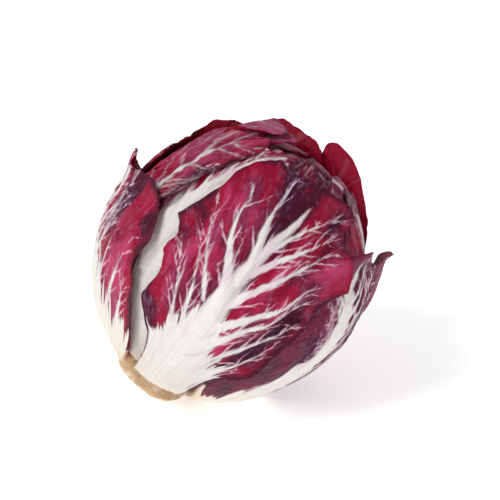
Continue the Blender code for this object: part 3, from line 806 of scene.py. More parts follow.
leaves = {
    "leaf_front": {
        "azimuth": -2, "foot": 36, "seed": 11, "grid": (190, 216),
        "outline": (
            [(-11, 28), (-12, 40), (-14, 49), (-17.5, 57), (-22, 62), (-27, 68), (-30.5, 73), (-31, 80),
             (-30.6, 88), (-32.5, 96), (-34.8, 100), (-33.2, 107), (-36, 112.5), (-39.6, 116.5)],
            [(-39.6, 116.5), (-37, 124), (-33, 132), (-28, 139), (-26, 147), (-20, 156), (-13, 162.5),
             (-6, 161.5), (1, 160.5), (8, 163.5), (16, 165), (23, 166), (27, 161), (26, 152), (31, 146),
             (36, 144), (40, 138), (43, 131)],
            [(8.5, 32), (11, 46), (14, 54), (19, 60), (25, 66), (29.5, 73), (32, 83), (34, 93),
             (35, 103), (36, 113), (38, 122), (43, 131)]),
        "midrib": [(-3.6, 15), (-3.6, 47), (-2.7, 80), (-2.7, 100), (-0.7, 116), (1.6, 128), (6.4, 143),
                   (9.9, 160)],
        "rib": (1.9, 12), "lift": 1.3, "waves": (1.2, 7), "swell": 1.9,
        "white": [(14, 60), (46, 34), (58, 22), (68, 13.5), (80, 7.5), (95, 4.8), (115, 2.9), (135, 1.5),
                  (148, 0.4), (158, -1)],
        "sideVeins": None,
        "veins": [
            ([(-9, 72), (-14, 86), (-17, 96), (-24, 112), (-27, 117)], 1.4),
            ([(-14, 70), (-19, 84), (-25, 97), (-33, 110)], 1.1),
            ([(-3, 96), (-8, 108), (-14, 119), (-17, 131), (-16, 137), (-18, 146)], 2.6),
            ([(-1, 114), (-3, 124), (-5, 135), (-5, 142), (-4, 151), (-4, 160)], 2.3),
            ([(0, 117), (2, 124), (10, 139), (18, 151), (22, 161)], 1.3),
            ([(-1, 108), (2, 114), (9, 125), (18, 137), (22, 145), (25, 152)], 1.9),
            ([(-2, 90), (1, 97), (8, 110), (16, 122), (24, 136), (28, 146)], 2.1),
            ([(-2, 80), (4, 87), (13, 98), (21, 107), (25, 118), (30, 128)], 2.6),
            ([(-3, 68), (3, 75), (12, 89), (21, 99), (25, 108), (31, 118)], 2.6),
            ([(0, 58), (8, 68), (17, 80), (26, 92), (32, 104)], 2.3),
            ([(4, 48), (12, 60), (21, 73), (29, 86)], 1.8),
            ([(-9, 92), (-18, 107), (-25, 122), (-28, 134)], 0.9),
        ],
    },
    "leaf_left": {
        "azimuth": -88, "foot": 42, "seed": 23, "grid": (150, 150),
        "outline": (
            [(-27, 33), (-38, 48), (-43, 66), (-41, 80), (-34, 93)],
            [(-34, 93), (-28, 96), (-22, 100), (-16, 104), (-10, 107), (-4, 109), (2, 109), (8, 106.5),
             (16, 110), (27, 114), (35, 113), (41, 109.5), (46, 103)],
            [(24, 19), (35, 26), (42, 36), (45.5, 49), (46.5, 64), (46, 76), (47, 85), (48.5, 94),
             (46, 103)]),
        "midrib": [(-2, 15), (-4, 50), (-8, 80), (-12, 95), (-14, 105)],
        "rib": (2.9, 18), "lift": 1.2, "waves": (1.2, 9), "swell": 1,
        "folds": [((-8, 93), 80, 9, 12, 20)], "rising": (-0.3, 60, 86), "footRise": 3.4,
        "white": [(14, 60), (30, 46), (44, 34), (58, 22), (72, 9), (86, 3), (98, 1), (120, 0)],
        "sideVeins": {**pairs, "to": 88, "every": 8, "angle": 32, "wide": 1.6, "length": 60,
                      "bend": 0.7},
        # painted shade along the rolled right margin
        "flames": 5, "paintedShadeSide": (37, 45),
        "veins": [
            ([(-2, 28), (4, 50), (9, 70), (13, 86)], 3),
            ([(6, 28), (14, 46), (21, 64), (26, 82)], 3.3),
            ([(13, 26), (24, 42), (32, 58), (37, 74), (39, 88)], 2.8),
            ([(19, 24), (30, 36), (38, 50), (42, 68)], 2.2),
            ([(2, 52), (9, 66), (18, 84)], 1.9),
        ],
        "look": {"dustyAndHighlightShare": 0.1, "rays": 64, "shadeShare": 0.4, "netShare": 0.8},
    },
    "leaf_back": {
        "azimuth": 161, "foot": 34, "seed": 31, "grid": (112, 120),
        "outline": plainOutline(49, 122, 2),
        "midrib": [(0, 15), (1, 60), (3, 120)],
        "rib": (1.9, 12), "lift": 1.4, "waves": (1.3, 8), "swell": 1,
        "white": [(14, 60), (34, 30), (50, 17), (62, 9), (80, 5), (100, 3), (120, 1)],
    },
    "leaf_underside": {
        "azimuth": 84, "depth": 2, "foot": 50, "seed": 43, "grid": (140, 150),
        "outline": (
            [(-30, 18), (-45, 23), (-54, 35), (-59, 56), (-61, 76), (-60, 98), (-56, 114)],
            [(-56, 114), (-50, 129), (-41, 140), (-31, 147), (-24, 147), (-17, 140), (-10, 134),
             (-3, 134), (4, 134.5), (11, 134.5), (17, 132.5), (22, 127), (25, 115)],
            [(24, 28), (36, 44), (42, 62), (41, 82), (34, 98), (25, 115)]),
        "midrib": [(2, 15), (2, 36), (0, 60), (-3, 80), (-9, 95), (-19, 112), (-25, 124), (-26, 140)],
        "rib": (2.6, 15), "swell": 0.8,
        "folds": [((-22, 134.5), 85, 5, 50, 15), ((12, 98), 80, 40, 9.5, 30),
                  ((14, 128), 85, 4, 60, 14)],
        "whiteCourse": [(2, 15), (-12, 36), (-21, 51), (-27, 72), (-27, 91), (-29, 107), (-31, 127),
                        (-22, 140)],
        "white": [(14, 60), (26, 30), (40, 17), (60, 11), (85, 7.5), (110, 4.5), (127, 2.5), (145, 1)],
        "sideVeins": {**pairs, "from": 24, "to": 118, "every": 9, "angle": 28, "wide": 1.1},
        # A darker copy of the red: painted shade of the lower side, which faces away from the lamps
        "look": {"crimson": tint(112, 14, 52), "dustyAndHighlight": tint(140, 60, 96), "dark": tint(66, 18, 44),
                 "rays": 12},
    },
    "leaf_upper_left": {
        "azimuth": -76, "depth": 2.4, "foot": 33, "seed": 53, "grid": (120, 160),
        "outline": (
            [(-20, 34), (-27, 56), (-24, 80), (-12, 98), (-1, 109), (3, 117), (2, 126), (-4, 135),
             (-7, 144), (-10, 156)],
            [(-10, 156), (-7, 164), (1, 168), (9, 167), (15, 162)],
            [(20, 34), (29, 56), (31, 84), (28, 106), (27, 116), (25, 128), (22, 142), (18, 154),
             (15, 162)]),
        "midrib": [(0, 15), (2, 80), (13, 112), (12, 130), (4, 164)],
        "rib": (0.5, 11), "swell": 2.2, "rowBias": 0.8,
        # painted shade along the margin's fold
        "folds": [((21.5, 122), 12, 7, 46, 34)], "paintedShadeSide": (16, 22), "toneShift": 0.2,
        "white": [(14, 60), (40, 30), (60, 12), (85, 4), (105, 1.5), (160, 0.5)],
        "sideVeins": {**pairs, "to": 150, "wide": 0.45},
        "look": {"dustyAndHighlightShare": 0.75, "paintedGlintShare": 0.4, "veinShare": 0.6, "netShare": 0.3,
                 "shadeShare": 0.35, "rays": 10},
    },
    "leaf_back_left": {
        "azimuth": -162.5, "depth": 2.5, "foot": 33, "seed": 61, "grid": (84, 100),
        "outline": plainOutline(35, 134, 0),
        "midrib": [(0, 15), (0, 80), (0, 134)],
        "rib": (0.5, 11), "swell": 0.5, "rowBias": 0.8,
        "folds": [((0, 124), 90, 12, 40, 24)],
        "white": [(14, 60), (40, 30), (60, 12), (85, 5), (134, 1)],
        "sideVeins": {**pairs, "to": 125, "wide": 0.8},
    },
    "leaf_front_left": {
        "azimuth": -41, "depth": 4.2, "foot": 34, "seed": 71, "grid": (120, 170),
        "slot": "inner_leaf",
        "outline": (
            [(-18, 34), (-30, 56), (-36, 84), (-34, 110), (-26, 134)],
            [(-26, 134), (-20, 150), (-9, 163), (2, 170), (10, 166), (18, 156), (26, 140)],
            [(18, 34), (30, 56), (37, 84), (35, 114), (26, 140)]),
        "midrib": [(-1, 15), (-1.3, 70), (-3.6, 84), (-3.2, 104), (-2.2, 122), (-0.6, 154), (1, 170)],
        "rib": (0.75, 9), "swell": 0.5,
        "white": [(14, 60), (60, 32), (90, 18), (105, 11), (120, 6), (134, 2.5), (150, 1), (170, 0)],
        "sideVeins": {**pairs, "from": 80, "to": 160, "every": 8, "angle": 20, "wide": 0.7},
        "look": {"rays": 24, "shadeShare": 0.2},
    },
    "leaf_right": {
        "azimuth": 137, "depth": 4.2, "foot": 34, "seed": 83, "grid": (110, 140),
        "outline": (
            [(-20, 36), (-33, 63), (-40, 94), (-39, 108), (-36, 120)],
            [(-36, 120), (-30, 128), (-26, 131), (-19.5, 138.5), (-10, 148), (-2.4, 157.5), (4.6, 163),
             (9.5, 166.5), (13.5, 165.5), (16.5, 158), (20, 152), (26, 149)],
            [(20, 36), (33, 63), (40, 95), (38, 123), (32, 138), (26, 149)]),
        "midrib": [(0, 15), (0, 80), (4, 150)],
        "rib": (0.5, 10), "swell": 0.6, "rowBias": 0.75, "lobes": 0.5,
        "folds": [((3.5, 144.3), 122, 8, 76, 48)],
        "white": [(14, 60), (50, 20), (80, 6), (120, 3), (150, 1)],
        "sideVeins": {**pairs, "to": 150, "wide": 0.7},
        "look": {"crimson": tint(112, 10, 52), "bloomShare": 0.6, "inner": tint(158, 4, 48)},
    },
    "leaf_top_left": {
        "azimuth": -119, "depth": 4.2, "foot": 34, "seed": 97, "grid": (100, 120),
        "outline": (
            [(-18, 35), (-30, 62), (-37, 92), (-34, 121)],
            [(-34, 121), (-28, 136), (-19, 142.5), (-13.5, 148), (-8.4, 146.5), (-4, 139.5),
             (0.6, 130.5), (8, 124), (20, 117)],
            [(18, 35), (30, 62), (37, 90), (32, 106), (20, 117)]),
        "midrib": [(0, 15), (0, 80), (-10, 150)],
        "rib": (0.5, 10), "swell": 0.6, "rowBias": 0.75,
        "folds": [((-11, 136.5), 31, 7, 62, 15)],
        "white": [(14, 60), (50, 20), (80, 6), (120, 3), (147, 1)],
        "sideVeins": {**pairs, "to": 140, "wide": 0.7},
        "look": {"dustyAndHighlightShare": 0.4, "veinShare": 0.4, "netShare": 0.3},
    },
    "leaf_top": {
        "azimuth": -166, "depth": 6.3, "foot": 38, "seed": 103, "grid": (90, 100),
        "slot": "inner_leaf",
        "outline": (
            [(-28, 40), (-41, 68), (-46.5, 95), (-41, 122), (-30, 146)],
            [(-30, 146), (-25, 156), (-18, 163), (-10.6, 165), (1, 162), (8, 159.5), (12, 156.5),
             (15, 152.5), (19.5, 146), (24.5, 141), (28, 136)],
            [(28, 40), (41, 68), (46.5, 95), (38, 120), (28, 136)]),
        "midrib": [(0, 15), (0, 80), (-3, 165)],
        "rib": (0.4, 10), "swell": 0.5, "rowBias": 0.6,
        "folds": [((-6, 149), 66, 8, 74, 20)],
        "white": [(14, 60), (60, 20), (100, 6), (140, 3), (168, 1)],
        "sideVeins": {**pairs, "to": 160, "wide": 0.7},
        "look": {"dustyAndHighlightShare": 0.4, "veinShare": 0.4, "netShare": 0.3, "inner": tint(150, 8, 44)},
    },
    "leaf_inner_right": innerLeaf(84, 113, 178, 15, {"rib": tint(234, 208, 216), "shadeShare": 0.6}),
    "leaf_inner_left": innerLeaf(-42, 127, 174, 17, {}),
}

# Layers of soft noise: share, wave length across and along, place across and along, added seed
broadLayers = ((1.0, 10.0, 34.0, 40.0, 7.0, 0), (0.6, 4.6, 17.0, 3.0, 0.0, 1))
puckerLayers = ((1.0, 4.2, 6.5, 50.0, 0.0, 2), (0.6, 2.1, 3.4, 50.0, 0.0, 3))
grooveLayers = ((0.22, 3.6, 70.0, 9.0, 0.0, 4),)
ruffleLayers = ((0.5, 5.0, 7.0, 30.0, 30.0, 5),)
flameLayers = ((1.0, 4.2, 60.0, 60.0, 0.0, 6), (0.5, 1.7, 30.0, 60.0, 0.0, 7))

surface = {
    "fanWidth": 76.0,  # the fan's coordinate runs over this from side to side
    "whiteInset": 1.1,  # white stays this far from the margins
    "whiteSlope": 2.0,
    "whiteFoot": (46.0, 30.0, 20.0),  # from and to which y it may reach them, and by how much
    "laminaFrom": (50.0, 75.0),  # y over which each of these starts
    "ridgeFrom": (40.0, 75.0),
    "swellFrom": (40.0, 90.0),
    "ruffleFrom": (50.0, 80.0),
    "edgeFrom": (40.0, 30.0),
    "besideRib": (0.0, 3.0),  # distance from a rib over which the blade swells
    "broadRib": (5.0, -1.0),
    "grooveRib": (0.5, 3.0),
    "ridge": (0.9, 1.3),  # height and width of a vein's ridge
    "dip": (0.35, 3.4, 1.7),  # depth, place and width of the dip beside it
    "ridgeTop": (0.3, 0.0, 1.5),
    "netRidge": (0.2, -0.6, 0.3),
    "broad": 0.8,  # shares of the leaf's swell
    "pucker": 0.3,
    "lamina": 0.3,
    "edgeWidth": 13.0,
    "ruffleWidth": 5.0,
    "waveCentre": 90.0,  # the margin's waves run round this y
    "waveTurn": 0.3,
    "depthFrom": (16.0, 46.0),  # the leaf dips from a share of its depth to all of it
    "depthShare": 0.3,
    "footSpan": (32.0, 15.0),
    # painted shade along a rolled margin: how dark, how its border waves, and over which y it comes in
    "darker": 1.7,
    "darkWave": 0.6,
    "darkFrom": (55.0, 100.0),
    # how far the relief's swellings turn to painted highlight and its dips to painted shade
    "toneGain": 1.1,
    "toneMost": 1.5,
    "edgeDarker": (0.8, 3.5, 0.0),
    "rayBase": (2.5, 13.0),  # half widths of the white over which rays start
}


def over(value, span):
    return smoothStep(value, *surface[span])


def planned(leaf):
    # The leaf's plan over what all leaves have; its white follows the midrib unless it says otherwise
    return {**leafDefaults, "whiteCourse": leaf["midrib"], **leaf}


def leafRise(x, y, inset, leaf):
    # -depth + lift and waves of the margin + the rise of the tip and the foot
    waveHeight, waveCount = leaf["waves"]
    rising, *risesOver = leaf["rising"]
    edgeFrom, edgeRun = surface["edgeFrom"]
    edge = (np.clip(1.0 - inset / surface["edgeWidth"], 0.0, 1.0) ** 2
            * np.clip((y - edgeFrom) / edgeRun, 0.0, 1.0))
    turn = np.arctan2(x, surface["waveCentre"] - y) + surface["waveTurn"] * leaf["azimuth"]
    ripple = 0.5 + 0.5 * np.sin(waveCount * turn)
    share = surface["depthShare"] + (1 - surface["depthShare"]) * over(y, "depthFrom")
    foot = leaf["footRise"] * over(y, "footSpan")
    height = -(leaf["depth"] * share - foot) + edge * (leaf["lift"] + waveHeight * ripple)
    return height + rising * smoothStep(y, *risesOver)


def veinRidges(side, net, lamina, y):
    # A bell along each vein less a wider bell beside it, a flat top on it, and low ridges on the net
    away = np.maximum(-side, 0.0)
    (high, wide), (deep, beside, spread) = surface["ridge"], surface["dip"]
    top, *topSpan = surface["ridgeTop"]
    netHigh, *netSpan = surface["netRidge"]
    ridges = (high * np.exp(-((away / wide) ** 2)) - deep * np.exp(-(((away - beside) / spread) ** 2))
              + top * smoothStep(side, *topSpan)) * over(y, "ridgeFrom")
    return ridges + netHigh * smoothStep(net, *netSpan) * lamina


def leafShell(leaf, lowest):
    # The leaf's outer and inner grids and the fields that its material reads
    columns, rows = leaf["grid"]
    seed = leaf["seed"]
    sheet = leafSheet(leaf, columns, rows)
    x, y = sheet[..., 0], sheet[..., 1]
    inset = marginDistance(sheet)
    fan = np.broadcast_to((np.linspace(0.0, 1.0, columns + 1) - 0.5) * surface["fanWidth"], y.shape)

    # White: half width of the base less the distance from its course, and the veins, off the margins
    veins, twigs = growVeins(leaf)
    side, net = veinField(x, y, veins), veinField(x, y, twigs)
    course = np.array(leaf["whiteCourse"], float)
    beside = np.abs(x - np.interp(y, course[:, 1], course[:, 0]))
    whiteY, whiteHalf = np.array(leaf["white"], float).T
    flames = leaf["flames"] * layeredNoise(fan, y, seed, flameLayers)
    base = np.interp(y + flames, whiteY, whiteHalf) - beside
    *footSpan, footRoom = surface["whiteFoot"]
    margin = (inset - surface["whiteInset"]) * surface["whiteSlope"] + smoothStep(y, *footSpan) * footRoom
    base, side = np.minimum(base, margin), np.minimum(side, margin)
    white = np.maximum(base, side)

    # Relief: swellings between the veins, puckers, raised veins, grooves in the white and a ruffled edge
    broad = layeredNoise(fan, y, seed, broadLayers)
    pucker = layeredNoise(x, y, seed, puckerLayers)
    lamina = over(-white, "besideRib") * over(y, "laminaFrom")
    raised = veinRidges(side, net, lamina, y)
    broadly = over(y, "swellFrom") * over(white, "broadRib")
    finely = (surface["pucker"] * pucker + surface["lamina"]) * lamina
    swelling = surface["broad"] * broad * broadly + finely
    grooves = layeredNoise(fan, y, seed, grooveLayers) * over(white, "grooveRib")
    ruffle = (np.clip(1.0 - inset / surface["ruffleWidth"], 0.0, 1.0)
              * layeredNoise(x + y, y - x, seed, ruffleLayers) * over(y, "ruffleFrom"))
    midrib = midribHeight(x, y, leaf)
    shift, rise = foldLeaf(x, y, leaf)
    height = leafRise(x, y, inset, leaf) + midrib + rise + leaf["swell"] * swelling
    height = height + raised + grooves + ruffle
    outer = wrapOnHead(x + shift[..., 0], y + shift[..., 1], height, leaf["azimuth"], lowest)
    thicker = (head["blade"] - head["marginBlade"]) * smoothStep(inset, 0.0, head["marginWidth"])
    root = head["rootDepth"] * smoothStep(y, *head["rootSpan"])
    thickness = head["marginBlade"] + thicker + midrib + head["veinBlade"] * raised + root
    inner = outer - surfaceNormal(outer) * thickness[..., None]

    # Painted shade along the rolled margin
    dark = smoothStep(x + surface["darkWave"] * pucker, *leaf["paintedShadeSide"])
    dark = dark * over(y, "darkFrom")
    edgeDarker, *edgeSpan = surface["edgeDarker"]
    # Painted highlight where the broad swelling noise rises and painted shade where it dips, darker towards
    # the margins, the leaf's tone shift, and painted shade along the rolled margin
    paintedLightAndTone = (np.clip(broad * surface["toneGain"], -surface["toneMost"], surface["toneMost"])
            - edgeDarker * smoothStep(inset, *edgeSpan) + leaf["toneShift"] - surface["darker"] * dark)
    rays = over(np.interp(y, whiteY, whiteHalf), "rayBase")
    layer = np.full(x.shape, float(seed))
    fields = {"baseField": base, "sideField": side, "netField": net, "rayField": rays, "paintedLightAndToneField": paintedLightAndTone,
              "rootField": y - head["leafBase"], "leafPlace": np.stack([x, y, layer], axis=-1),
              "fanPlace": np.stack([fan, y, layer], axis=-1)}
    return outer, inner, fields


def shellArrays(leaf, first=0, lowest=False):
    # Points, faces and fields of one closed leaf: both grids and the rim between them
    outer, inner, fields = leafShell(leaf, lowest)
    rows, columns = outer.shape[0] - 1, outer.shape[1] - 1
    count = outer.shape[0] * outer.shape[1]
    points = np.concatenate([outer.reshape(-1, 3), inner.reshape(-1, 3)])
    faces = np.concatenate([gridFaces(rows, columns, first), gridFaces(rows, columns, first + count, False),
                            rimFaces(rows, columns, first, first + count)])
    made = {name: np.concatenate([values.reshape(count, *values.shape[2:])] * 2)
            for name, values in fields.items()}
    made["insideFace"] = np.repeat([0.0, 1.0], count)
    return points, faces, made


def addLeaf(name, plan):
    leaf = planned(plan)
    shell = shellArrays(leaf, lowest=name == "leaf_underside")
    addPiece(name + "_blade", name, *shell, leafMaterial(name, leaf["look"]), leaf["slot"])


for leafName, leafPlan in leaves.items():
    addLeaf(leafName, leafPlan)
print("leaves ready")


# Heart: a tight core and the innermost leaves, closing over the crown

heart = {
    "coreDepth": 11.0,
    "coreGrid": (72, 60),
    "coreField": -9.0,  # well below 0: no white on the core
    "flatButt": 52.55,  # the core stops here under the butt
    "halfTurn": 64.0,
    "risesOver": (166.0, 188.0),
    # azimuth, depth, length, tip width, tip rise, seed
    "leaves": ((12.0, 9.3, 183.0, 13.0, 1.3, 201), (120.0, 9.8, 189.0, 12.0, 2.2, 211),
               (-125.0, 8.8, 187.0, 14.0, 1.4, 223), (62.0, 10.1, 195.0, 10.0, 2.0, 233),
               (-60.0, 10.35, 193.0, 11.0, 1.5, 241)),
    "leafPlan": {
        "foot": 38.0, "grid": (50, 90), "rib": (0.3, 10.0), "swell": 0.8, "rowBias": 0.5,
        "white": [(14, 60), (60, 14), (100, 4), (150, 1)],
        "sideVeins": {**pairs, "from": 110.0, "to": 180.0, "angle": 18.0, "wide": 0.7, "length": 34.0},
    },
    # tips that stand off the crown: azimuth, depth, rise, from, to, seed, how much dustier, outline
    "tips": ((-119.0, 8.8, 8.0, 142.0, 166.0, 251, 1.3,
              [(-6, 152), (-4, 164), (2, 174), (9, 179), (16, 178), (21, 172), (24, 163), (22, 152)]),
             (-88.0, 9.2, 5.0, 150.0, 176.0, 263, 0.6,
              [(-12, 158), (-7, 168), (-1, 178), (4, 182), (8, 176), (12, 167), (16, 157)]),
             (-62.0, 8.6, 2.0, 150.0, 170.0, 271, 0.2,
              [(-14, 150), (-9, 160), (-3, 168), (4, 170), (9, 165), (13, 158), (17, 148)]),
             (-10.0, 8.9, 3.5, 150.0, 178.0, 283, -0.2,
              [(-14, 158), (-9, 168), (-3, 176), (3, 179), (8, 175), (12, 167), (17, 157)]),
             (30.0, 8.4, 3.0, 140.0, 168.0, 293, -0.4,
              [(-20, 150), (-14, 162), (-6, 170), (2, 173), (9, 170), (15, 162), (21, 150)]),
             (75.0, 8.7, 3.5, 140.0, 165.0, 307, -0.3,
              [(-20, 146), (-14, 158), (-6, 167), (2, 170), (9, 166), (15, 158), (21, 146)])),
    "tipSides": ((1.2, 60), (1.5, 110)),  # shares of the tip's half widths, and their y
    "tipPlan": {
        "foot": 30.0, "grid": (36, 64), "rib": (0.4, 6.0), "swell": 1.2, "rowBias": 0.4,
        "waves": (1.6, 11.0), "lift": 0.6, "white": [(14, 60), (60, 14), (100, 3), (150, 0.6)],
        "sideVeins": {**pairs, "from": 120.0, "to": 172.0, "every": 7.0, "angle": 22.0, "wide": 0.6,
                      "length": 24.0},
    },
    "look": {"crimson": tint(132, 2, 48), "dustyAndHighlight": tint(180, 70, 112), "dark": tint(74, 2, 36),
             "shade": tint(78, 10, 50), "rib": tint(232, 196, 208), "ribShade": tint(212, 160, 180),
             "bloom": tint(186, 96, 142), "lilac": tint(214, 140, 172), "bloomShare": 0.22,
             "veinShare": 0.3, "netShare": 0.08, "shadeShare": 0.45, "rays": 5.0, "paintedGlintShare": 0.05},
}


def coreArrays(columns, rows):
    # A closed ball of latitude rings: the head's radius less the depth, cut flat under the butt
    turn = np.linspace(0.0, 2 * math.pi, columns, endpoint=False)[None]
    fall = np.linspace(0.0, math.pi, rows + 1)[1:-1][:, None]
    facing = (np.cos(turn)[..., None] * front + np.sin(turn)[..., None] * low) * np.sin(fall)[..., None]
    facing = facing - np.cos(fall)[..., None] * axis
    facing = np.vstack([facing.reshape(-1, 3), [-axis, axis]])
    towardButt = -(facing @ axis)
    outside = headRadius(towardButt)
    radius = outside - heart["coreDepth"] - pressedDepth(outside, facing)
    radius = np.minimum(radius, heart["flatButt"] / np.clip(towardButt, head["leastFall"], 1.0))
    points = centre + radius[:, None] * facing
    butt, crown = len(points) - 2, len(points) - 1
    faces = np.concatenate([ringFaces(rows - 1, columns), capFaces(columns, 0, butt, False),
                            capFaces(columns, butt - columns, crown)])
    plain, dark = np.zeros(len(points)), np.full(len(points), heart["coreField"])
    fields = {**dict.fromkeys(("baseField", "sideField", "netField"), dark),
              **dict.fromkeys(("rayField", "paintedLightAndToneField", "rootField", "insideFace"), plain),
              **dict.fromkeys(("leafPlace", "fanPlace"), points)}
    return points, faces, fields


def heartPlans():
    # The innermost leaves, then the tips: narrow leaves with the given tip and sides that lead to it
    for azimuth, depth, length, tipWidth, rise, seed in heart["leaves"]:
        yield {**heart["leafPlan"], "azimuth": azimuth, "depth": depth, "seed": seed,
               "outline": wedgeOutline(heart["halfTurn"], length, tipWidth),
               "midrib": [(0, 15), (0, 80), (0, length)],
               "white": [*heart["leafPlan"]["white"], (length, 0)],
               "rising": (rise, *heart["risesOver"])}
    for azimuth, depth, rise, risesFrom, risesTo, seed, toneShift, tip in heart["tips"]:
        left, right = ([*((end[0] * share, y) for share, y in heart["tipSides"]), end]
                       for end in (tip[0], tip[-1]))
        topX, topY = tip[3]
        yield {**heart["tipPlan"], "azimuth": azimuth, "depth": depth, "seed": seed, "toneShift": toneShift,
               "outline": (left, tip, right), "midrib": [(0, 15), (0, 80), (topX, topY)],
               "white": [*heart["tipPlan"]["white"], (topY, 0)],
               "rising": (rise, risesFrom, risesTo)}


def addHeart():
    parts = [coreArrays(*heart["coreGrid"])]
    count = len(parts[0][0])
    for plan in heartPlans():
        parts.append(shellArrays(planned(plan), count))
        count += len(parts[-1][0])
    points = np.concatenate([part[0] for part in parts])
    faces = np.concatenate([part[1] for part in parts])
    fields = {name: np.concatenate([part[2][name] for part in parts]) for name in parts[0][2]}
    material = leafMaterial("heart", heart["look"])
    addPiece("heart_leaves", "heart", points, faces, fields, material, "inner_leaf")


addHeart()
print("heart ready")


# Butt: the cut stem

butt = {
    # distance from the head's centre, radius
    "rings": [(53.0, 11.55), (60.0, 13.15), (65.5, 14.55), (66.9, 15.9), (69.4, 18.4), (70.6, 18.0)],
    "slant": 2.6,  # the cut leans: longer towards this side
    "slantSide": -20.0,
    "slantFrom": (65.0, 68.0),
    "dish": 0.8,  # how far the cut face sinks towards its middle
    "sides": 150,
    "ringSteps": 60,
    "faceSteps": 34,
    "uneven": 0.018,
    "lobes": ((1.0, 3, 0.7), (0.6, 7, 2.0)),  # share, number and turn in radians
    "lumps": 0.3,
    "lumpsFrom": (65.0, 67.5),
    # share, size across, size along, place and seed of each layer of lumps
    "lumpLayers": ((1.0, 3.1, 2.5, 20.0, 301), (0.5, 1.3, 1.0, 40.0, 303)),
    "tan": tint(212, 180, 146),
    "pale": tint(236, 218, 194),
    "brown": tint(172, 124, 86),
    "rust": tint(190, 128, 104),
    # waves per millimetre, detail, roughness and twist, and where each mask starts and ends
    "blotchNoise": ((0.16, 0.16, 0.16), 4.0, 0.6, 0.4),
    "blotch": (0.4, 0.62),
    "fibreNoise": ((0.9, 0.9, 0.25), 4.0, 0.65),
    "fibre": (0.52, 0.72),
    "fibreShare": 0.6,
    "rustNoise": ((0.3, 0.3, 0.3), 3.0, 0.55),
    "rustMask": (0.56, 0.7),
    "rustShare": 0.4,
    "specular": 0.3,
    "roughness": 0.5,
    "fibreRougher": 0.25,
    "strength": 0.6,  # of the relief, and its distance in metres
    "distance": 0.0006,
}


def buttMaterial():
    material, shader, s = newMaterial("cut_stem", butt["specular"])
    place = s.place("buttPlace")
    blotch, fibre = place.noise(*butt["blotchNoise"]), place.noise(*butt["fibreNoise"])
    rust = place.noise(*butt["rustNoise"]).step(*butt["rustMask"])
    colour = blotch.step(*butt["blotch"]).mix(butt["tan"], butt["pale"])
    colour = (fibre.step(*butt["fibre"]) * butt["fibreShare"]).mix(colour, butt["brown"])
    colour = (rust * butt["rustShare"]).mix(colour, butt["rust"])
    rough = butt["roughness"] + fibre * butt["fibreRougher"]
    linkFinish(s, shader, colour, rough, butt["strength"], butt["distance"], fibre + blotch)
    return material


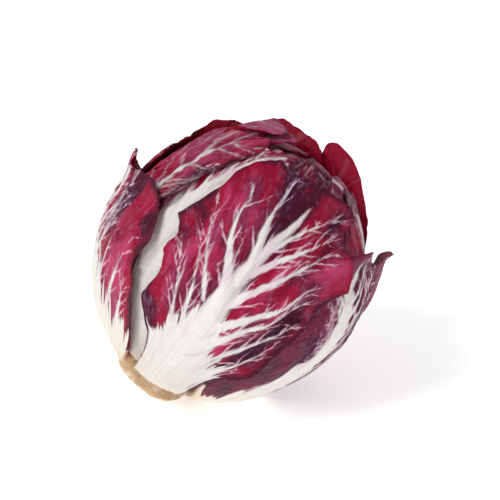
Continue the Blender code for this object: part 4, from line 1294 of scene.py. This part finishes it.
def addButt():
    # Rings turned round the axis, lumpy by noise, then the cut face as ever smaller rings
    sides = butt["sides"]
    profile = smoothLine(butt["rings"], butt["ringSteps"])
    turn = np.linspace(0.0, 2 * math.pi, sides, endpoint=False)[None]
    reach, radius = profile[:, :1], profile[:, 1:]
    shrink = np.linspace(1.0, 0.0, butt["faceSteps"] + 1)[1:-1][:, None]
    reach = np.vstack([reach, reach[-1:] - butt["dish"] * (1 - shrink**2)])
    radius = np.vstack([radius, radius[-1:] * shrink])
    uneven = 1.0 + butt["uneven"] * sum(share * np.sin(number * turn + start)
                                        for share, number, start in butt["lobes"])
    across, down = np.cos(turn) * radius, np.sin(turn) * radius
    lumps = sum(share * softNoise(across / size + place, down / size + reach / along, seed)
                for share, size, along, place, seed in butt["lumpLayers"])
    lumps = lumps * butt["lumps"] * smoothStep(reach, *butt["lumpsFrom"])
    lean = butt["slant"] * np.cos(turn - math.radians(butt["slantSide"])) * radius / radius.max()
    reach = reach + lean * smoothStep(reach, *butt["slantFrom"])
    around = np.cos(turn)[..., None] * front + np.sin(turn)[..., None] * low
    points = centre - (reach + lumps)[..., None] * axis + (radius * uneven + lumps)[..., None] * around
    rows = len(radius)
    ends = [centre - profile[0, 0] * axis, centre - (profile[-1, 0] - butt["dish"]) * axis]
    points = np.vstack([points.reshape(-1, 3), ends])
    points[:, 2] = np.maximum(points[:, 2], 0.0)
    top, cut = rows * sides, rows * sides + 1
    faces = np.concatenate([ringFaces(rows, sides)[:, [0, 3, 2, 1]], capFaces(sides, 0, top),
                            capFaces(sides, top - sides, cut, False)])
    fields = {"buttPlace": np.stack([points @ front, points @ low, (points - centre) @ axis], axis=-1)}
    addPiece("stem_butt_cut", "stem_butt", points, faces, fields, buttMaterial(), "cut_stem")


addButt()
print("butt ready")


# Floor and light

studio = {
    "floorSize": 6.0,
    "floor": (0.93, 0.93, 0.93, 1.0),
    "floorRoughness": 0.9,
    "floorGlow": 0.5,
    "world": (1.0, 1.0, 1.0, 1.0),
    "worldStrength": 0.36,
    # place in metres, size in metres, watts
    "lamps": {"key": ((-0.75, -0.75, 1.15), 0.6, 12.0), "fill": ((0.9, -0.9, 0.6), 1.2, 1.5),
              "back": ((0.2, 1.2, 1.0), 1.2, 4.0)},
}


def addFloor():
    mesh = bpy.data.meshes.new("floor")
    half = studio["floorSize"] / 2
    corners = [(-half, -half, 0), (half, -half, 0), (half, half, 0), (-half, half, 0)]
    mesh.from_pydata(corners, [], [(0, 1, 2, 3)])
    material, shader, _ = newMaterial("floor", 0.0)
    shader.inputs["Roughness"].default_value = studio["floorRoughness"]
    shader.inputs["Base Color"].default_value = studio["floor"]
    shader.inputs["Emission Color"].default_value = studio["world"]
    shader.inputs["Emission Strength"].default_value = studio["floorGlow"]
    mesh.materials.append(material)
    floor = bpy.data.objects.new("floor", mesh)
    bpy.context.scene.collection.objects.link(floor)


def addLight():
    # A white world and round lamps, each turned towards the head's centre
    world = bpy.data.worlds.new("studio")
    world.use_nodes = True
    world.node_tree.nodes["Background"].inputs["Color"].default_value = studio["world"]
    world.node_tree.nodes["Background"].inputs["Strength"].default_value = studio["worldStrength"]
    bpy.context.scene.world = world
    for name, (place, size, watts) in studio["lamps"].items():
        data = bpy.data.lights.new(name, "AREA")
        data.shape = "DISK"
        data.size = size
        data.energy = watts
        lamp = bpy.data.objects.new(name, data)
        lamp.location = place
        run = np.array(place) - centre * mm
        lamp.rotation_euler = (math.atan2(math.hypot(run[0], run[1]), run[2]), 0.0,
                               math.atan2(run[1], run[0]) + math.pi / 2)
        bpy.context.scene.collection.objects.link(lamp)
    bpy.context.scene.view_settings.view_transform = "Standard"


addFloor()
addLight()
print("studio ready")
